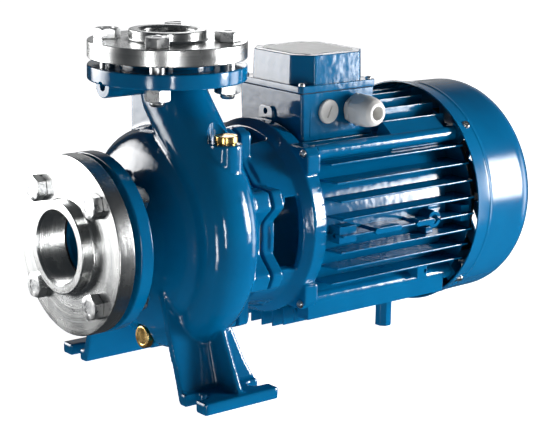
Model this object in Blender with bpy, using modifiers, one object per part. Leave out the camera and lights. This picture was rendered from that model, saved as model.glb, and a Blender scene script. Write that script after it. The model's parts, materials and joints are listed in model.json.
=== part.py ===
# Close-coupled end-suction centrifugal pump with threaded counter-flanges.
# Metres, +Z up. The floor is Z = 0, the shaft runs along X and the motor is at +X.
# Every place below is measured from the delivery branch's axis. One empty then
# moves the whole pump so that the middle of its length stands at X = 0.

from collections import namedtuple
from math import cos, pi, radians, sin, sqrt

import bmesh
import bpy
from mathutils import Matrix, Vector

# Driving dimensions of the pump
SHAFT_HEIGHT = 0.160
SUCTION_REACH = 0.100
DELIVERY_HEIGHT = 0.180
GASKET_SPACE = 0.002
SEAT_GAP = 0.0003
BOLT_HOLE = 0.009
FIT_GAP = 0.0006
RIM_BEVEL = 0.0012
THREAD_BEVEL = 0.002
HUB_FILLET = 0.003

# Each branch has a cast flange and a steel counter-flange, both with a raised face.
# "circle" is the bolt circle's radius, and "face" is the raised face's radius.
Branch = namedtuple(
    "Branch",
    "name radius circle face cast_face cast_rim counter_face counter_rim hub hub_height thread",
)
SUCTION = Branch(
    name="suction",
    radius=0.0925,
    circle=0.0725,
    face=0.059,
    cast_face=0.0030,
    cast_rim=0.0150,
    counter_face=0.0020,
    counter_rim=0.0182,
    hub=0.048,
    hub_height=0.0138,
    thread=0.037,
)
DELIVERY = Branch(
    name="delivery",
    radius=0.0825,
    circle=0.0625,
    face=0.0495,
    cast_face=0.0045,
    cast_rim=0.0157,
    counter_face=0.0005,
    counter_rim=0.0177,
    hub=0.040,
    hub_height=0.0110,
    thread=0.029,
)
SUCTION_BORE = 0.0325
DELIVERY_BORE = 0.025

# M16 bolts and nuts
BOLT_RADIUS = 0.008
HEX_RADIUS = 0.0139
BOLT_HEAD = 0.010
NUT_HEIGHT = 0.013
BOLT_END = 0.0055

# Volute
SCROLL_WIDTH = 0.028
SCROLL_START = 100
SCROLL_END = 400
SCROLL_REACH = 0.110
SCROLL_GROWTH = 0.0000854
SCROLL_HALF = 0.0205
NECK_RADIUS = 0.034
# The casing's turned body and its suction branch, as (radius, x) from rear to front.
# They are one casting, and are kept as two solids that meet at BRANCH_SPLIT.
BRANCH_SPLIT = -0.034
CASING_REAR_X = 0.040
BODY_PROFILE = [
    (0, CASING_REAR_X),
    (0.098, CASING_REAR_X),
    (0.106, 0.026),
    (0.107, -0.022),
    (0.0985, BRANCH_SPLIT),
    (0, BRANCH_SPLIT),
]
BRANCH_PROFILE = [
    (0.0985, BRANCH_SPLIT),
    (0.0900, -0.0400),
    (0.0790, -0.0450),
    (0.0660, -0.0510),
    (0.0550, -0.0590),
    (0.0480, -0.0690),
    (0.0445, -0.0830),
    (0, -0.0830),
]
# The delivery neck's (y, z) centres and leans. It is cut level at NECK_SPLIT.
NECK_SPLIT = 0.292
NECK_LINE = [
    ((-0.049, 0.262), 43),
    ((-0.028, 0.285), 40),
    ((-0.012, 0.304), 35),
    ((-0.003, 0.328), 15),
]
PLUG_RADIUS = 0.0120
PLUG_STUB = 0.0085
PLUG_HEAD = 0.0082
PLUG_DEPTH = 0.006
FILL_BOSS_RADIUS = 0.0175
FILL_X = 0.005
FILL_Y = -0.093
FILL_Z = 0.266
DRAIN_BOSS_RADIUS = 0.0135
DRAIN_X = -0.0245
DRAIN_Z = 0.0475
TAP_Z = 0.3185
GUSSET_HALF = 0.004
GUSSET_FRONT_Y = 0.005
GUSSET_REAR_Y = 0.060
GUSSET_LOW_Z = 0.245
GUSSET_TOP_Z = 0.3225
# The impeller's eye sits in a pocket behind the suction bore
EYE_RADIUS = 0.042
EYE_X = -0.010
VANE_COUNT = 6

# Feet
FOOT_SPAN = 0.265
FOOT_WIDTH = 0.0466
FOOT_LENGTH = 0.094
FOOT_THICKNESS = 0.0125
SLOT_CENTRE_Y = 0.106
SLOT_CENTRE_X = 0.035
SLOT_RADIUS = 0.008
WEB_LEAN = 0.31
WEB_THICKNESS = 0.009
# The webs and ribs run up into the casing as far as this
LEG_TOP = 0.112
LEG_GAP = 0.0005
RIB_X = 0.0025
RIB_HALF = 0.0035
# The web's height, front and rear, from the foot up
WEB_EDGES = (
    (0.0005, -0.0465, 0.0465),
    (0.0700, -0.0485, 0.0290),
    (LEG_TOP, -0.0485, 0.0230),
)
# The rib's outer edge as (distance from the shaft's plane, height), from the foot up
RIB_EDGE = (
    (0.1250, FOOT_THICKNESS / 2),
    (0.1253, FOOT_THICKNESS + 0.001),
    (0.0988, 0.0650),
    (0.0800, LEG_TOP),
)

# Lantern bracket between casing and motor
SEAM_X = 0.055
SEAM_WIDTH = 0.0030
LOBE_RADIUS = 0.1155
VALLEY_RADIUS = 0.0920
LOBE_COUNT = 8
LOBE_TIP_ANGLE = 4.5
LOBE_FOOT_ANGLE = 12.5
STAR_THICKNESS = 0.013
RING_FRONT_X = 0.103
RING_EDGE_X = 0.114
RING_REAR_X = 0.132
RING_RADIUS = 0.1070
RING_REAR_RADIUS = 0.1050
# An ear is a block round a long screw of the motor, narrower at its tip
EAR_ROOT_RADIUS = 0.095
EAR_ROOT_HALF = 0.0215
EAR_RADIUS = 0.1232
EAR_TIP_HALF = 0.0050
# Each window is its name, its middle and half its width in degrees round the shaft
LANTERN_WINDOWS = (
    ("near_window", 0, 24),
    ("far_window", 180, 24),
    ("top_window", 90, 22),
    ("low_window", 270, 20),
)

# Motor
MOTOR_FRONT_X = RING_REAR_X + SEAT_GAP
MOTOR_REAR_X = 0.338
BARREL_RADIUS = 0.097
BARREL_REAR_X = 0.314
TAIL_RADIUS = 0.088
FIN_RADIUS = 0.120
LOW_FIN_RADIUS = 0.125
FIN_ROOT = 0.060
FIN_THICKNESS = 0.0026
FIN_PITCH = 0.0184
FIN_OFFSET = -0.0052
FIN_FRONT_X = 0.1415
FIN_SLANT = 0.007
LOW_FIN_FRONT_X = 0.1225
TOP_FIN_FRONT_X = 0.246
COVER_FRONT_X = 0.335
COVER_BEAD_X = 0.356
COVER_REAR_X = 0.438
COVER_FRONT_RADIUS = 0.1283
COVER_BEAD_RADIUS = 0.1250
COVER_REAR_RADIUS = 0.1242
COVER_CORNER = 0.030
COVER_WALL = 0.002
SHAFT_RADIUS = 0.012
LIFT_X = 0.2795
LIFT_REACH = 0.115
SUPPORT_X = 0.315
SUPPORT_TOP = 0.0353
BLADE_COUNT = 8
SLOT_COUNT = 12

# Terminal box on top of the motor
BOX_X = 0.1887
BOX_FOOT_Z = 0.246
BOX_RIM_Z = 0.298
BOX_FRONT_Y = -0.0536
LID_RIM_Z = 0.306
LID_TOP_Z = 0.3373
OUTLET_Z = 0.2765
PLUG_OUTLET_X = 0.173
GLAND_OUTLET_X = 0.2085

SUCTION_FITTINGS = GASKET_SPACE + SUCTION.counter_face + SUCTION.counter_rim + SUCTION.hub_height
X_FRONT = -SUCTION_REACH - SUCTION_FITTINGS
X_REAR = COVER_REAR_X
X_CENTRE = (X_FRONT + X_REAR) / 2

TO_X = Matrix.Rotation(radians(90), 4, "Y")
# Draws an outline of (y, z) points out along X
ALONG_SHAFT = Matrix(((0, 0, 1, 0), (1, 0, 0, 0), (0, 1, 0, 0), (0, 0, 0, 1)))
# Round shapes start this far round, so that their edges miss the planes of other shapes
OFF_PLANE = radians(4)


def clear_scene():
    for obj in list(bpy.data.objects):
        bpy.data.objects.remove(obj)


def make_collection(name):
    found = bpy.data.collections.new(name)
    bpy.context.scene.collection.children.link(found)
    return found


def make_material(name, colour, roughness, metallic):
    made = bpy.data.materials.new(name)
    made.use_nodes = True
    shader = made.node_tree.nodes["Principled BSDF"]
    shader.inputs["Base Color"].default_value = (*colour, 1)
    shader.inputs["Roughness"].default_value = roughness
    shader.inputs["Metallic"].default_value = metallic
    return made


clear_scene()
PUMP = make_collection("centrifugal_pump")
HELPERS = make_collection("helper_shapes")
ORIGIN = bpy.data.objects.new("pump_origin", None)
ORIGIN.location.x = -X_CENTRE
PUMP.objects.link(ORIGIN)

BLUE_PAINT = make_material("blue_gloss_paint", (0.005, 0.085, 0.22), 0.25, 0.0)
STAINLESS = make_material("turned_stainless_steel", (0.62, 0.62, 0.60), 0.30, 1.0)
BOLT_STEEL = make_material("bolt_steel", (0.50, 0.50, 0.48), 0.35, 1.0)
BRASS = make_material("brass", (0.80, 0.52, 0.18), 0.28, 1.0)
GASKET_FIBRE = make_material("gasket_fibre", (0.03, 0.04, 0.04), 0.80, 0.0)
WHITE_PLASTIC = make_material("white_plastic", (0.80, 0.78, 0.74), 0.35, 0.0)
BLACK_PLASTIC = make_material("black_plastic", (0.02, 0.02, 0.02), 0.50, 0.0)
SHAFT_STEEL = make_material("ground_shaft_steel", (0.45, 0.45, 0.46), 0.25, 1.0)


def add_object(name, mesh, material, place=None):
    """A pump part, in the pump's own frame."""
    made = bpy.data.objects.new(name, mesh)
    if not mesh.materials:
        mesh.materials.append(material)
    PUMP.objects.link(made)
    made.parent = ORIGIN
    if place is not None:
        made.matrix_local = place
    return made


def mesh_of(bm, name):
    bmesh.ops.recalc_face_normals(bm, faces=bm.faces)
    mesh = bpy.data.meshes.new(name)
    bm.to_mesh(mesh)
    bm.free()
    return mesh


def boolean(obj, helpers, operation):
    """Joins or cuts all of the helpers at once, and hides them."""
    group = bpy.data.collections.new(f"{obj.name}_{operation.lower()}")
    HELPERS.children.link(group)
    for helper in helpers:
        PUMP.objects.unlink(helper)
        group.objects.link(helper)
        helper.hide_render = True
        helper.display_type = "WIRE"
    modifier = obj.modifiers.new(operation.lower(), "BOOLEAN")
    modifier.operation = operation
    modifier.operand_type = "COLLECTION"
    modifier.collection = group
    modifier.solver = "EXACT"


def join(obj, helpers):
    boolean(obj, helpers, "UNION")


def cut(obj, helpers):
    boolean(obj, helpers, "DIFFERENCE")


def box(name, low, high, material, place=None):
    bm = bmesh.new()
    bmesh.ops.create_cube(bm, size=1)
    size = Vector(high) - Vector(low)
    middle = (Vector(high) + Vector(low)) / 2
    bmesh.ops.scale(bm, vec=size, verts=bm.verts)
    bmesh.ops.translate(bm, vec=middle, verts=bm.verts)
    return add_object(name, mesh_of(bm, name), material, place)


def cylinder(name, radius, low, high, material, place=None, sides=32, turn=OFF_PLANE):
    """A cylinder or a prism along its own Z axis, from low to high."""
    bm = bmesh.new()
    bmesh.ops.create_cone(
        bm, cap_ends=True, segments=sides, radius1=radius, radius2=radius, depth=high - low
    )
    bmesh.ops.translate(bm, vec=(0, 0, (low + high) / 2), verts=bm.verts)
    bmesh.ops.rotate(bm, cent=(0, 0, 0), matrix=Matrix.Rotation(turn, 3, "Z"), verts=bm.verts)
    return add_object(name, mesh_of(bm, name), material, place)


def turned(name, profile, material, place=None, steps=64, closed=False, start=OFF_PLANE / 3):
    """A profile of (radius, height) points, from top to bottom, turned about Z."""
    mesh = bpy.data.meshes.new(name)
    points = [(radius * cos(start), radius * sin(start), height) for radius, height in profile]
    edges = [(i, i + 1) for i in range(len(points) - 1)]
    if closed:
        edges.append((len(points) - 1, 0))
    mesh.from_pydata(points, edges, [])
    made = add_object(name, mesh, material, place)
    screw = made.modifiers.new("turn", "SCREW")
    screw.axis = "Z"
    screw.angle = 2 * pi
    screw.steps = steps
    screw.render_steps = steps
    screw.use_merge_vertices = True
    screw.merge_threshold = 0.00001
    return made


def extruded(name, outline, low, high, material, place=None):
    """A closed flat outline of (x, y) points, filled and drawn out along Z."""
    bm = bmesh.new()
    corners = [bm.verts.new((x, y, low)) for x, y in outline]
    face = bm.faces.new(corners)
    top = bmesh.ops.extrude_face_region(bm, geom=[face])
    raised = [item for item in top["geom"] if isinstance(item, bmesh.types.BMVert)]
    bmesh.ops.translate(bm, vec=(0, 0, high - low), verts=raised)
    return add_object(name, mesh_of(bm, name), material, place)


def loft(name, rings, material, place=None):
    """A skin through rings of points that all have the same count, closed at both ends."""
    bm = bmesh.new()
    loops = [[bm.verts.new(point) for point in ring] for ring in rings]
    for first, second in zip(loops, loops[1:]):
        for i in range(len(first)):
            j = (i + 1) % len(first)
            bm.faces.new((first[i], first[j], second[j], second[i]))
    bm.faces.new(loops[0])
    bm.faces.new(loops[-1])
    return add_object(name, mesh_of(bm, name), material, place)


def at(x, y, z):
    return Matrix.Translation((x, y, z))


def along_x(x, y=0.0, z=SHAFT_HEIGHT):
    """Puts a shape's own Z axis along +X."""
    return at(x, y, z) @ TO_X


# Both branches are built with their raised face at height 0 and the pipe above it
SUCTION_PLACE = at(-SUCTION_REACH, 0, SHAFT_HEIGHT) @ Matrix.Rotation(radians(-90), 4, "Y")
DELIVERY_PLACE = at(0, 0, SHAFT_HEIGHT + DELIVERY_HEIGHT)


def polar(radius, degrees):
    """A point about the shaft: 0 degrees is the near side (-Y) and 90 is the top."""
    return -radius * cos(radians(degrees)), SHAFT_HEIGHT + radius * sin(radians(degrees))


def on_diagonals(circle):
    """The four bolt places of a flange, at 45 degrees to its axes."""
    side = circle / sqrt(2)
    return [(side, side), (-side, side), (-side, -side), (side, -side)]


# The casting: a scroll round a turned body, a suction branch, a delivery neck and two legs


def scroll_share(degrees):
    """How far round the scroll is, from 0 at the tongue to 1 where the neck leaves it."""
    return (degrees - SCROLL_START) / (SCROLL_END - SCROLL_START)


def scroll_size(degrees):
    """Distance of the scroll's centre from the shaft, and its half height, as it grows."""
    half = SCROLL_HALF + (NECK_RADIUS - SCROLL_HALF) * scroll_share(degrees)
    reach = SCROLL_REACH + SCROLL_GROWTH * (degrees - SCROLL_START)
    return reach - half, half


def section(centre, outward, half, width, fullness, count=20):
    """A ring about a centre: half high along outward, width wide along X."""
    ring = []
    for i in range(count):
        turn = 2 * pi * i / count
        side, up = cos(turn), sin(turn)
        x = width * abs(side) ** (2 / fullness) * (1 if side > 0 else -1)
        r = half * abs(up) ** (2 / fullness) * (1 if up > 0 else -1)
        ring.append((x, centre[0] + outward[0] * r, centre[1] + outward[1] * r))
    return ring


def scroll_rings(gap):
    """Sections round the scroll, all larger than the casting's by the gap."""
    rings = []
    for degrees in range(SCROLL_START, SCROLL_END + 1, 15):
        centre, half = scroll_size(degrees)
        share = scroll_share(degrees)
        fullness = 2.7 - 0.6 * share
        width = SCROLL_WIDTH + (NECK_RADIUS - SCROLL_WIDTH) * share
        outward = (-cos(radians(degrees)), sin(radians(degrees)))
        place = polar(centre, degrees)
        rings.append(section(place, outward, half + gap, width + gap, fullness))
    return rings


def neck_rings(radius, line):
    """Round rings along the delivery neck. Each has its (y, z) centre and its plane's turn."""
    rings = []
    for centre, lean in line:
        outward = (-cos(radians(lean)), sin(radians(lean)))
        rings.append(section(centre, outward, radius, radius, 2.0))
    return rings


def scroll_and_neck(name, gap=0):
    rings = scroll_rings(gap) + neck_rings(NECK_RADIUS + gap, NECK_LINE)
    return loft(name, rings, BLUE_PAINT)


def casing_flange(branch, place):
    """A cast flange with its raised face at height 0, hanging down from it."""
    rim_top = -branch.cast_face
    rim_end = rim_top - branch.cast_rim
    profile = [
        (0, 0),
        (branch.face, 0),
        (branch.face, rim_top),
        (branch.radius - RIM_BEVEL, rim_top),
        (branch.radius, rim_top - RIM_BEVEL),
        (branch.radius, rim_end + RIM_BEVEL),
        (branch.radius - RIM_BEVEL, rim_end),
        (0, rim_end),
    ]
    return turned(f"{branch.name}_flange", profile, BLUE_PAINT, place, steps=48)


def bolt_holes(branch, low, high, place):
    return [
        cylinder(
            f"{branch.name}_hole_{i}", BOLT_HOLE, low, high, BLUE_PAINT, place @ at(a, b, 0), 16
        )
        for i, (a, b) in enumerate(on_diagonals(branch.circle), 1)
    ]


def lobed_outline():
    """The casing's rear flange: a lobe at each bolt and a valley between the lobes."""
    outline = []
    pitch = 360 / LOBE_COUNT
    tip, foot = LOBE_TIP_ANGLE, LOBE_FOOT_ANGLE
    for i in range(LOBE_COUNT):
        corners = (
            (VALLEY_RADIUS, -foot),
            (LOBE_RADIUS, -tip),
            (LOBE_RADIUS, tip),
            (VALLEY_RADIUS, foot),
        )
        for radius, turn in corners:
            angle = radians(pitch * (i + 0.5) + turn)
            outline.append((radius * cos(angle), radius * sin(angle)))
    return outline


def gusset(name):
    """The flat rib that props the delivery flange from behind the neck."""
    low = (-GUSSET_HALF, GUSSET_FRONT_Y, GUSSET_LOW_Z)
    high = (GUSSET_HALF, GUSSET_REAR_Y, GUSSET_TOP_Z)
    return box(name, low, high, BLUE_PAINT)


def plug_places():
    """Where the filling and the drain plug sit, with the boss radius of each."""
    fill = at(FILL_X, FILL_Y, FILL_Z)
    drain = at(DRAIN_X, 0, DRAIN_Z) @ Matrix.Rotation(radians(-90), 4, "Y")
    return (("filling", fill, FILL_BOSS_RADIUS, 0.060), ("drain", drain, DRAIN_BOSS_RADIUS, 0.040))


def volute_casing():
    """The scroll and the body, with the lobed flange that the lantern is bolted to."""
    casing = turned("volute_casing", BODY_PROFILE, BLUE_PAINT, along_x(0), steps=56)
    shapes = [scroll_and_neck("scroll"), gusset("low_gusset")]
    front = CASING_REAR_X - 0.010
    rear = SEAM_X - SEAM_WIDTH / 2
    shapes.append(extruded("rear_flange", lobed_outline(), front, rear, BLUE_PAINT, along_x(0)))
    pocket = cylinder("eye_pocket", EYE_RADIUS, -0.036, EYE_X, BLUE_PAINT, along_x(0))
    shaft_room = SHAFT_RADIUS + SEAT_GAP
    shaft_hole = cylinder("shaft_hole", shaft_room, -0.020, 0.060, BLUE_PAINT, along_x(0), 24)
    above = box("above_split", (-0.060, -0.080, NECK_SPLIT), (0.060, 0.080, 0.350), BLUE_PAINT)
    holes = [pocket, shaft_hole, above]
    for name, spot, radius, depth in plug_places():
        shapes.append(cylinder(f"{name}_boss", radius, -depth, 0, BLUE_PAINT, spot, 16))
        stub = PLUG_STUB + SEAT_GAP
        holes.append(cylinder(f"{name}_hole", stub, -PLUG_DEPTH - 0.002, 0.002, BLUE_PAINT, spot, 20))
        room = radius + 0.0013
        holes.append(cylinder(f"{name}_spot_face", room, 0, 0.025, BLUE_PAINT, spot, 24))
    join(casing, shapes)
    cut(casing, holes)


def suction_branch():
    """The funnel in front of the body, with the suction flange and the rib above it."""
    profile = [(0, BRANCH_SPLIT - SEAT_GAP), (BRANCH_PROFILE[0][0], BRANCH_SPLIT - SEAT_GAP)]
    profile += BRANCH_PROFILE[1:]
    made = turned("suction_branch", profile, BLUE_PAINT, along_x(0), steps=56)
    rib = box("suction_rib", (-0.083, -0.004, 0.195), (-0.036, 0.004, 0.2285), BLUE_PAINT)
    join(made, [casing_flange(SUCTION, SUCTION_PLACE), rib])
    bore = cylinder("suction_bore", SUCTION_BORE, -0.102, -0.030, BLUE_PAINT, along_x(0))
    cut(made, [bore, *bolt_holes(SUCTION, -0.025, 0.005, SUCTION_PLACE)])


def delivery_branch():
    """The top of the neck with the delivery flange and its gauge tapping."""
    made = scroll_and_neck("delivery_branch")
    tap = along_x(0, 0, TAP_Z)
    boss = cylinder("tap_boss", 0.0125, -0.080, -0.020, BLUE_PAINT, tap, 12)
    join(made, [casing_flange(DELIVERY, DELIVERY_PLACE), gusset("high_gusset"), boss])
    bore_line = [*NECK_LINE[1:], ((0, 0.345), 0)]
    low = NECK_SPLIT + SEAT_GAP
    cut(made, [
        box("below_split", (-0.060, -0.180, 0), (0.060, 0.180, low), BLUE_PAINT),
        loft("delivery_bore", neck_rings(DELIVERY_BORE, bore_line), BLUE_PAINT),
        cylinder("tap_hole", 0.005, -0.083, -0.060, BLUE_PAINT, tap, 12),
        *bolt_holes(DELIVERY, -0.030, 0.005, DELIVERY_PLACE),
    ])


def foot_outline(side):
    """A foot seen from above, with a slot open at each end."""
    half = FOOT_LENGTH / 2
    inner = FOOT_SPAN / 2 - FOOT_WIDTH
    outer = FOOT_SPAN / 2
    round_end = []
    for degrees in range(0, 181, 30):
        turn = radians(degrees)
        x = SLOT_CENTRE_X - SLOT_RADIUS * sin(turn)
        round_end.append((x, SLOT_CENTRE_Y - SLOT_RADIUS * cos(turn)))
    slot = [(half, round_end[0][1]), *round_end, (half, round_end[-1][1])]
    right = [(half, inner), *slot, (half, outer)]
    left = [(-x, y) for x, y in reversed(right)]
    return [(x, -side * y) for x, y in right + left]


def leg(name, side):
    """Foot, leaning web and outer rib. side is 1 for the near leg and -1 for the far one."""
    foot = extruded(name, foot_outline(side), 0, FOOT_THICKNESS, BLUE_PAINT)
    inner = FOOT_SPAN / 2 - FOOT_WIDTH
    half = FOOT_LENGTH / 2
    web_rings = []
    for z, x_front, x_rear in WEB_EDGES:
        near = inner - WEB_LEAN * z
        far = near + WEB_THICKNESS
        corners = ((x_front, far), (x_rear, far), (x_rear, near), (x_front, near))
        web_rings.append([(x, -side * y, z) for x, y in corners])
    web = loft(f"{name}_web", web_rings, BLUE_PAINT)
    buried = [
        (inner - WEB_LEAN * z + WEB_THICKNESS / 2, z) for z in (LEG_TOP, FOOT_THICKNESS / 2)
    ]
    rib_outline = [(-side * y, z) for y, z in (*RIB_EDGE, *buried)]
    low, high = RIB_X - RIB_HALF, RIB_X + RIB_HALF
    rib = extruded(f"{name}_rib", rib_outline, low, high, BLUE_PAINT, ALONG_SHAFT)
    join(foot, [web, rib])
    casting = [(r + LEG_GAP if r else 0, x) for r, x in BODY_PROFILE[:-2] + BRANCH_PROFILE]
    cut(foot, [
        scroll_and_neck(f"{name}_scroll_room", LEG_GAP),
        turned(f"{name}_body_room", casting, BLUE_PAINT, along_x(0), steps=56),
    ])


# Counter-flanges, gaskets, bolts and plugs


def counter_flange(branch, place):
    """Seen with the pipe end up and the casing's raised face at height 0."""
    rim = GASKET_SPACE + branch.counter_face
    front = rim + branch.counter_rim
    top = front + branch.hub_height
    profile = [
        (branch.thread + THREAD_BEVEL, top),
        (branch.hub, top),
        (branch.hub, front + HUB_FILLET),
        (branch.hub + HUB_FILLET, front),
        (branch.radius - RIM_BEVEL, front),
        (branch.radius, front - RIM_BEVEL),
        (branch.radius, rim),
        (branch.face, rim),
        (branch.face, GASKET_SPACE),
        (branch.thread, GASKET_SPACE),
        (branch.thread, top - THREAD_BEVEL),
    ]
    name = f"{branch.name}_counter_flange"
    made = turned(name, profile, STAINLESS, place, steps=48, closed=True)
    cut(made, bolt_holes(branch, -0.010, 0.040, place))


def gasket(branch, place):
    low = SEAT_GAP
    high = GASKET_SPACE - SEAT_GAP
    outer = branch.face - 0.001
    inner = branch.thread + 0.001
    profile = [(outer, high), (outer, low), (inner, low), (inner, high)]
    turned(f"{branch.name}_gasket", profile, GASKET_FIBRE, place, steps=40, closed=True)


def flange_bolts(branch, place):
    """Four bolts with their heads on the counter-flange and their nuts behind the cast one."""
    front = GASKET_SPACE + branch.counter_face + branch.counter_rim + SEAT_GAP
    nut_top = -branch.cast_face - branch.cast_rim - SEAT_GAP
    nut_end = nut_top - NUT_HEIGHT
    end = nut_end - BOLT_END
    head_top = front + BOLT_HEAD
    flat = HEX_RADIUS * cos(radians(30))
    shank = [
        (0, head_top),
        (flat - 0.001, head_top),
        (flat - 0.0002, head_top - 0.001),
        (flat - 0.0008, front),
        (BOLT_RADIUS, front),
        (BOLT_RADIUS, end),
        (0, end),
    ]
    for i, (a, b) in enumerate(on_diagonals(branch.circle), 1):
        spot = place @ at(a, b, 0)
        bolt = turned(f"{branch.name}_bolt_{i}", shank, BOLT_STEEL, spot, steps=16)
        join(bolt, [hexagon(f"{branch.name}_head_{i}", front + 0.0003, head_top - 0.0008, spot, 15)])
        nut = hexagon(f"{branch.name}_nut_{i}", nut_end, nut_top, spot, 25)
        bore_radius = BOLT_RADIUS + SEAT_GAP
        cut(nut, [
            cylinder(f"{branch.name}_nut_bore_{i}", bore_radius, end, front, BOLT_STEEL, spot, 16)
        ])


def hexagon(name, low, high, place, degrees):
    turn = radians(degrees)
    return cylinder(name, HEX_RADIUS, low, high, BOLT_STEEL, place, sides=6, turn=turn)


def plug(name, place):
    """A brass plug: a thick disc and the stub that its thread is on."""
    profile = [
        (0, PLUG_HEAD),
        (PLUG_RADIUS - 0.001, PLUG_HEAD),
        (PLUG_RADIUS, PLUG_HEAD - 0.001),
        (PLUG_RADIUS, SEAT_GAP),
        (PLUG_STUB, SEAT_GAP),
        (PLUG_STUB, -PLUG_DEPTH),
        (0, -PLUG_DEPTH),
    ]
    turned(name, profile, BRASS, place, steps=24)


# Rotating parts seen through the openings


def impeller():
    """The suction eye of the impeller, with its nut and the inlet ends of its vanes."""
    place = along_x(EYE_X - SEAT_GAP)
    outer = EYE_RADIUS - 0.0005
    made = turned("impeller", [
        (0, 0),
        (outer, 0),
        (outer, -0.013),
        (0.0360, -0.013),
        (0.0340, -0.004),
        (0.0150, -0.004),
        (0.0140, -0.0165),
        (0.0060, -0.0185),
        (0, -0.0185),
    ], STAINLESS, place, steps=36)
    vanes = []
    for i in range(VANE_COUNT):
        turn = place @ Matrix.Rotation(2 * pi * i / VANE_COUNT - 0.44, 4, "Z")
        low, high = (0.013, -0.0015, -0.011), (0.037, 0.0015, -0.003)
        vanes.append(box(f"vane_{i}", low, high, STAINLESS, turn))
    join(made, vanes)


def pump_shaft():
    """The shaft from the impeller to the motor, with its splash ring."""
    rear = MOTOR_FRONT_X - 2 * SEAT_GAP
    made = turned("pump_shaft", [
        (0, rear),
        (0.0155, rear),
        (0.0155, 0.088),
        (SHAFT_RADIUS, 0.088),
        (SHAFT_RADIUS, EYE_X + 0.001),
        (0, EYE_X + 0.001),
    ], SHAFT_STEEL, along_x(0), steps=24)
    join(made, [cylinder("slinger", 0.026, 0.074, 0.078, BLACK_PLASTIC, along_x(0), 24)])


def casing_cover():
    """The disc that closes the casing, clamped between its rear flange and the lantern."""
    half = SEAM_WIDTH / 2 - SEAT_GAP
    rear, front = SEAM_X + half, SEAM_X - half
    hole = SHAFT_RADIUS + SEAT_GAP
    profile = [(0.088, rear), (0.088, front), (hole, front), (hole, rear)]
    turned("casing_cover", profile, SHAFT_STEEL, along_x(0), steps=36, closed=True)


# Lantern bracket


def ear(name, low, high, gap=0):
    """Four blocks for the motor's long screws, at 45 degrees, wider at their root."""
    root, tip = EAR_ROOT_HALF + gap, EAR_TIP_HALF + gap
    reach = EAR_RADIUS + gap
    outline = [(EAR_ROOT_RADIUS, -root), (reach, -tip), (reach, tip), (EAR_ROOT_RADIUS, root)]
    return [
        extruded(
            f"{name}_{i}",
            outline,
            low,
            high,
            BLUE_PAINT,
            along_x(0) @ Matrix.Rotation(radians(45 + 90 * i), 4, "Z"),
        )
        for i in range(4)
    ]


def lantern_bracket():
    """The open casting between casing and motor: lobed flange, four arms, ring with ears."""
    front = SEAM_X + SEAM_WIDTH / 2
    star_rear = front + STAR_THICKNESS
    place = along_x(0)
    made = extruded("lantern_bracket", lobed_outline(), front, star_rear, BLUE_PAINT, place)
    wall = turned("lantern_wall", [
        (0, 0.125),
        (0.0985, 0.125),
        (0.0975, 0.100),
        (0.0930, front + 0.008),
        (0, front + 0.008),
    ], BLUE_PAINT, place, steps=48, start=radians(3))
    ring = turned("motor_ring", [
        (0, RING_REAR_X),
        (RING_REAR_RADIUS, RING_REAR_X),
        (RING_RADIUS, RING_EDGE_X),
        (0.0985, RING_FRONT_X),
        (0, RING_FRONT_X),
    ], BLUE_PAINT, place, steps=48)
    join(made, [wall, ring, *ear("ring_ear", RING_EDGE_X - 0.001, RING_REAR_X - 0.0004)])
    inside = turned("lantern_space", [
        (0, RING_REAR_X + 0.010),
        (0.0940, RING_REAR_X + 0.010),
        (0.0915, RING_FRONT_X + 0.004),
        (0.0860, star_rear + 0.001),
        (0.0550, star_rear + 0.001),
        (0.0550, front - 0.010),
        (0, front - 0.010),
    ], BLUE_PAINT, place, steps=48, start=radians(2.2))
    windows = [
        window(name, middle, half_angle, star_rear, RING_FRONT_X + 0.001)
        for name, middle, half_angle in LANTERN_WINDOWS
    ]
    cut(made, [inside, *windows])


def window(name, middle, half_angle, low, high):
    """A wedge about the shaft that reaches past the lantern's wall."""
    edge = [middle - half_angle + half_angle * i / 2 for i in range(5)]
    outline = [polar(0.130, degrees) for degrees in edge]
    outline += [polar(0.050, degrees) for degrees in reversed(edge)]
    return extruded(name, outline, low, high, BLUE_PAINT, ALONG_SHAFT)


# Motor


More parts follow.
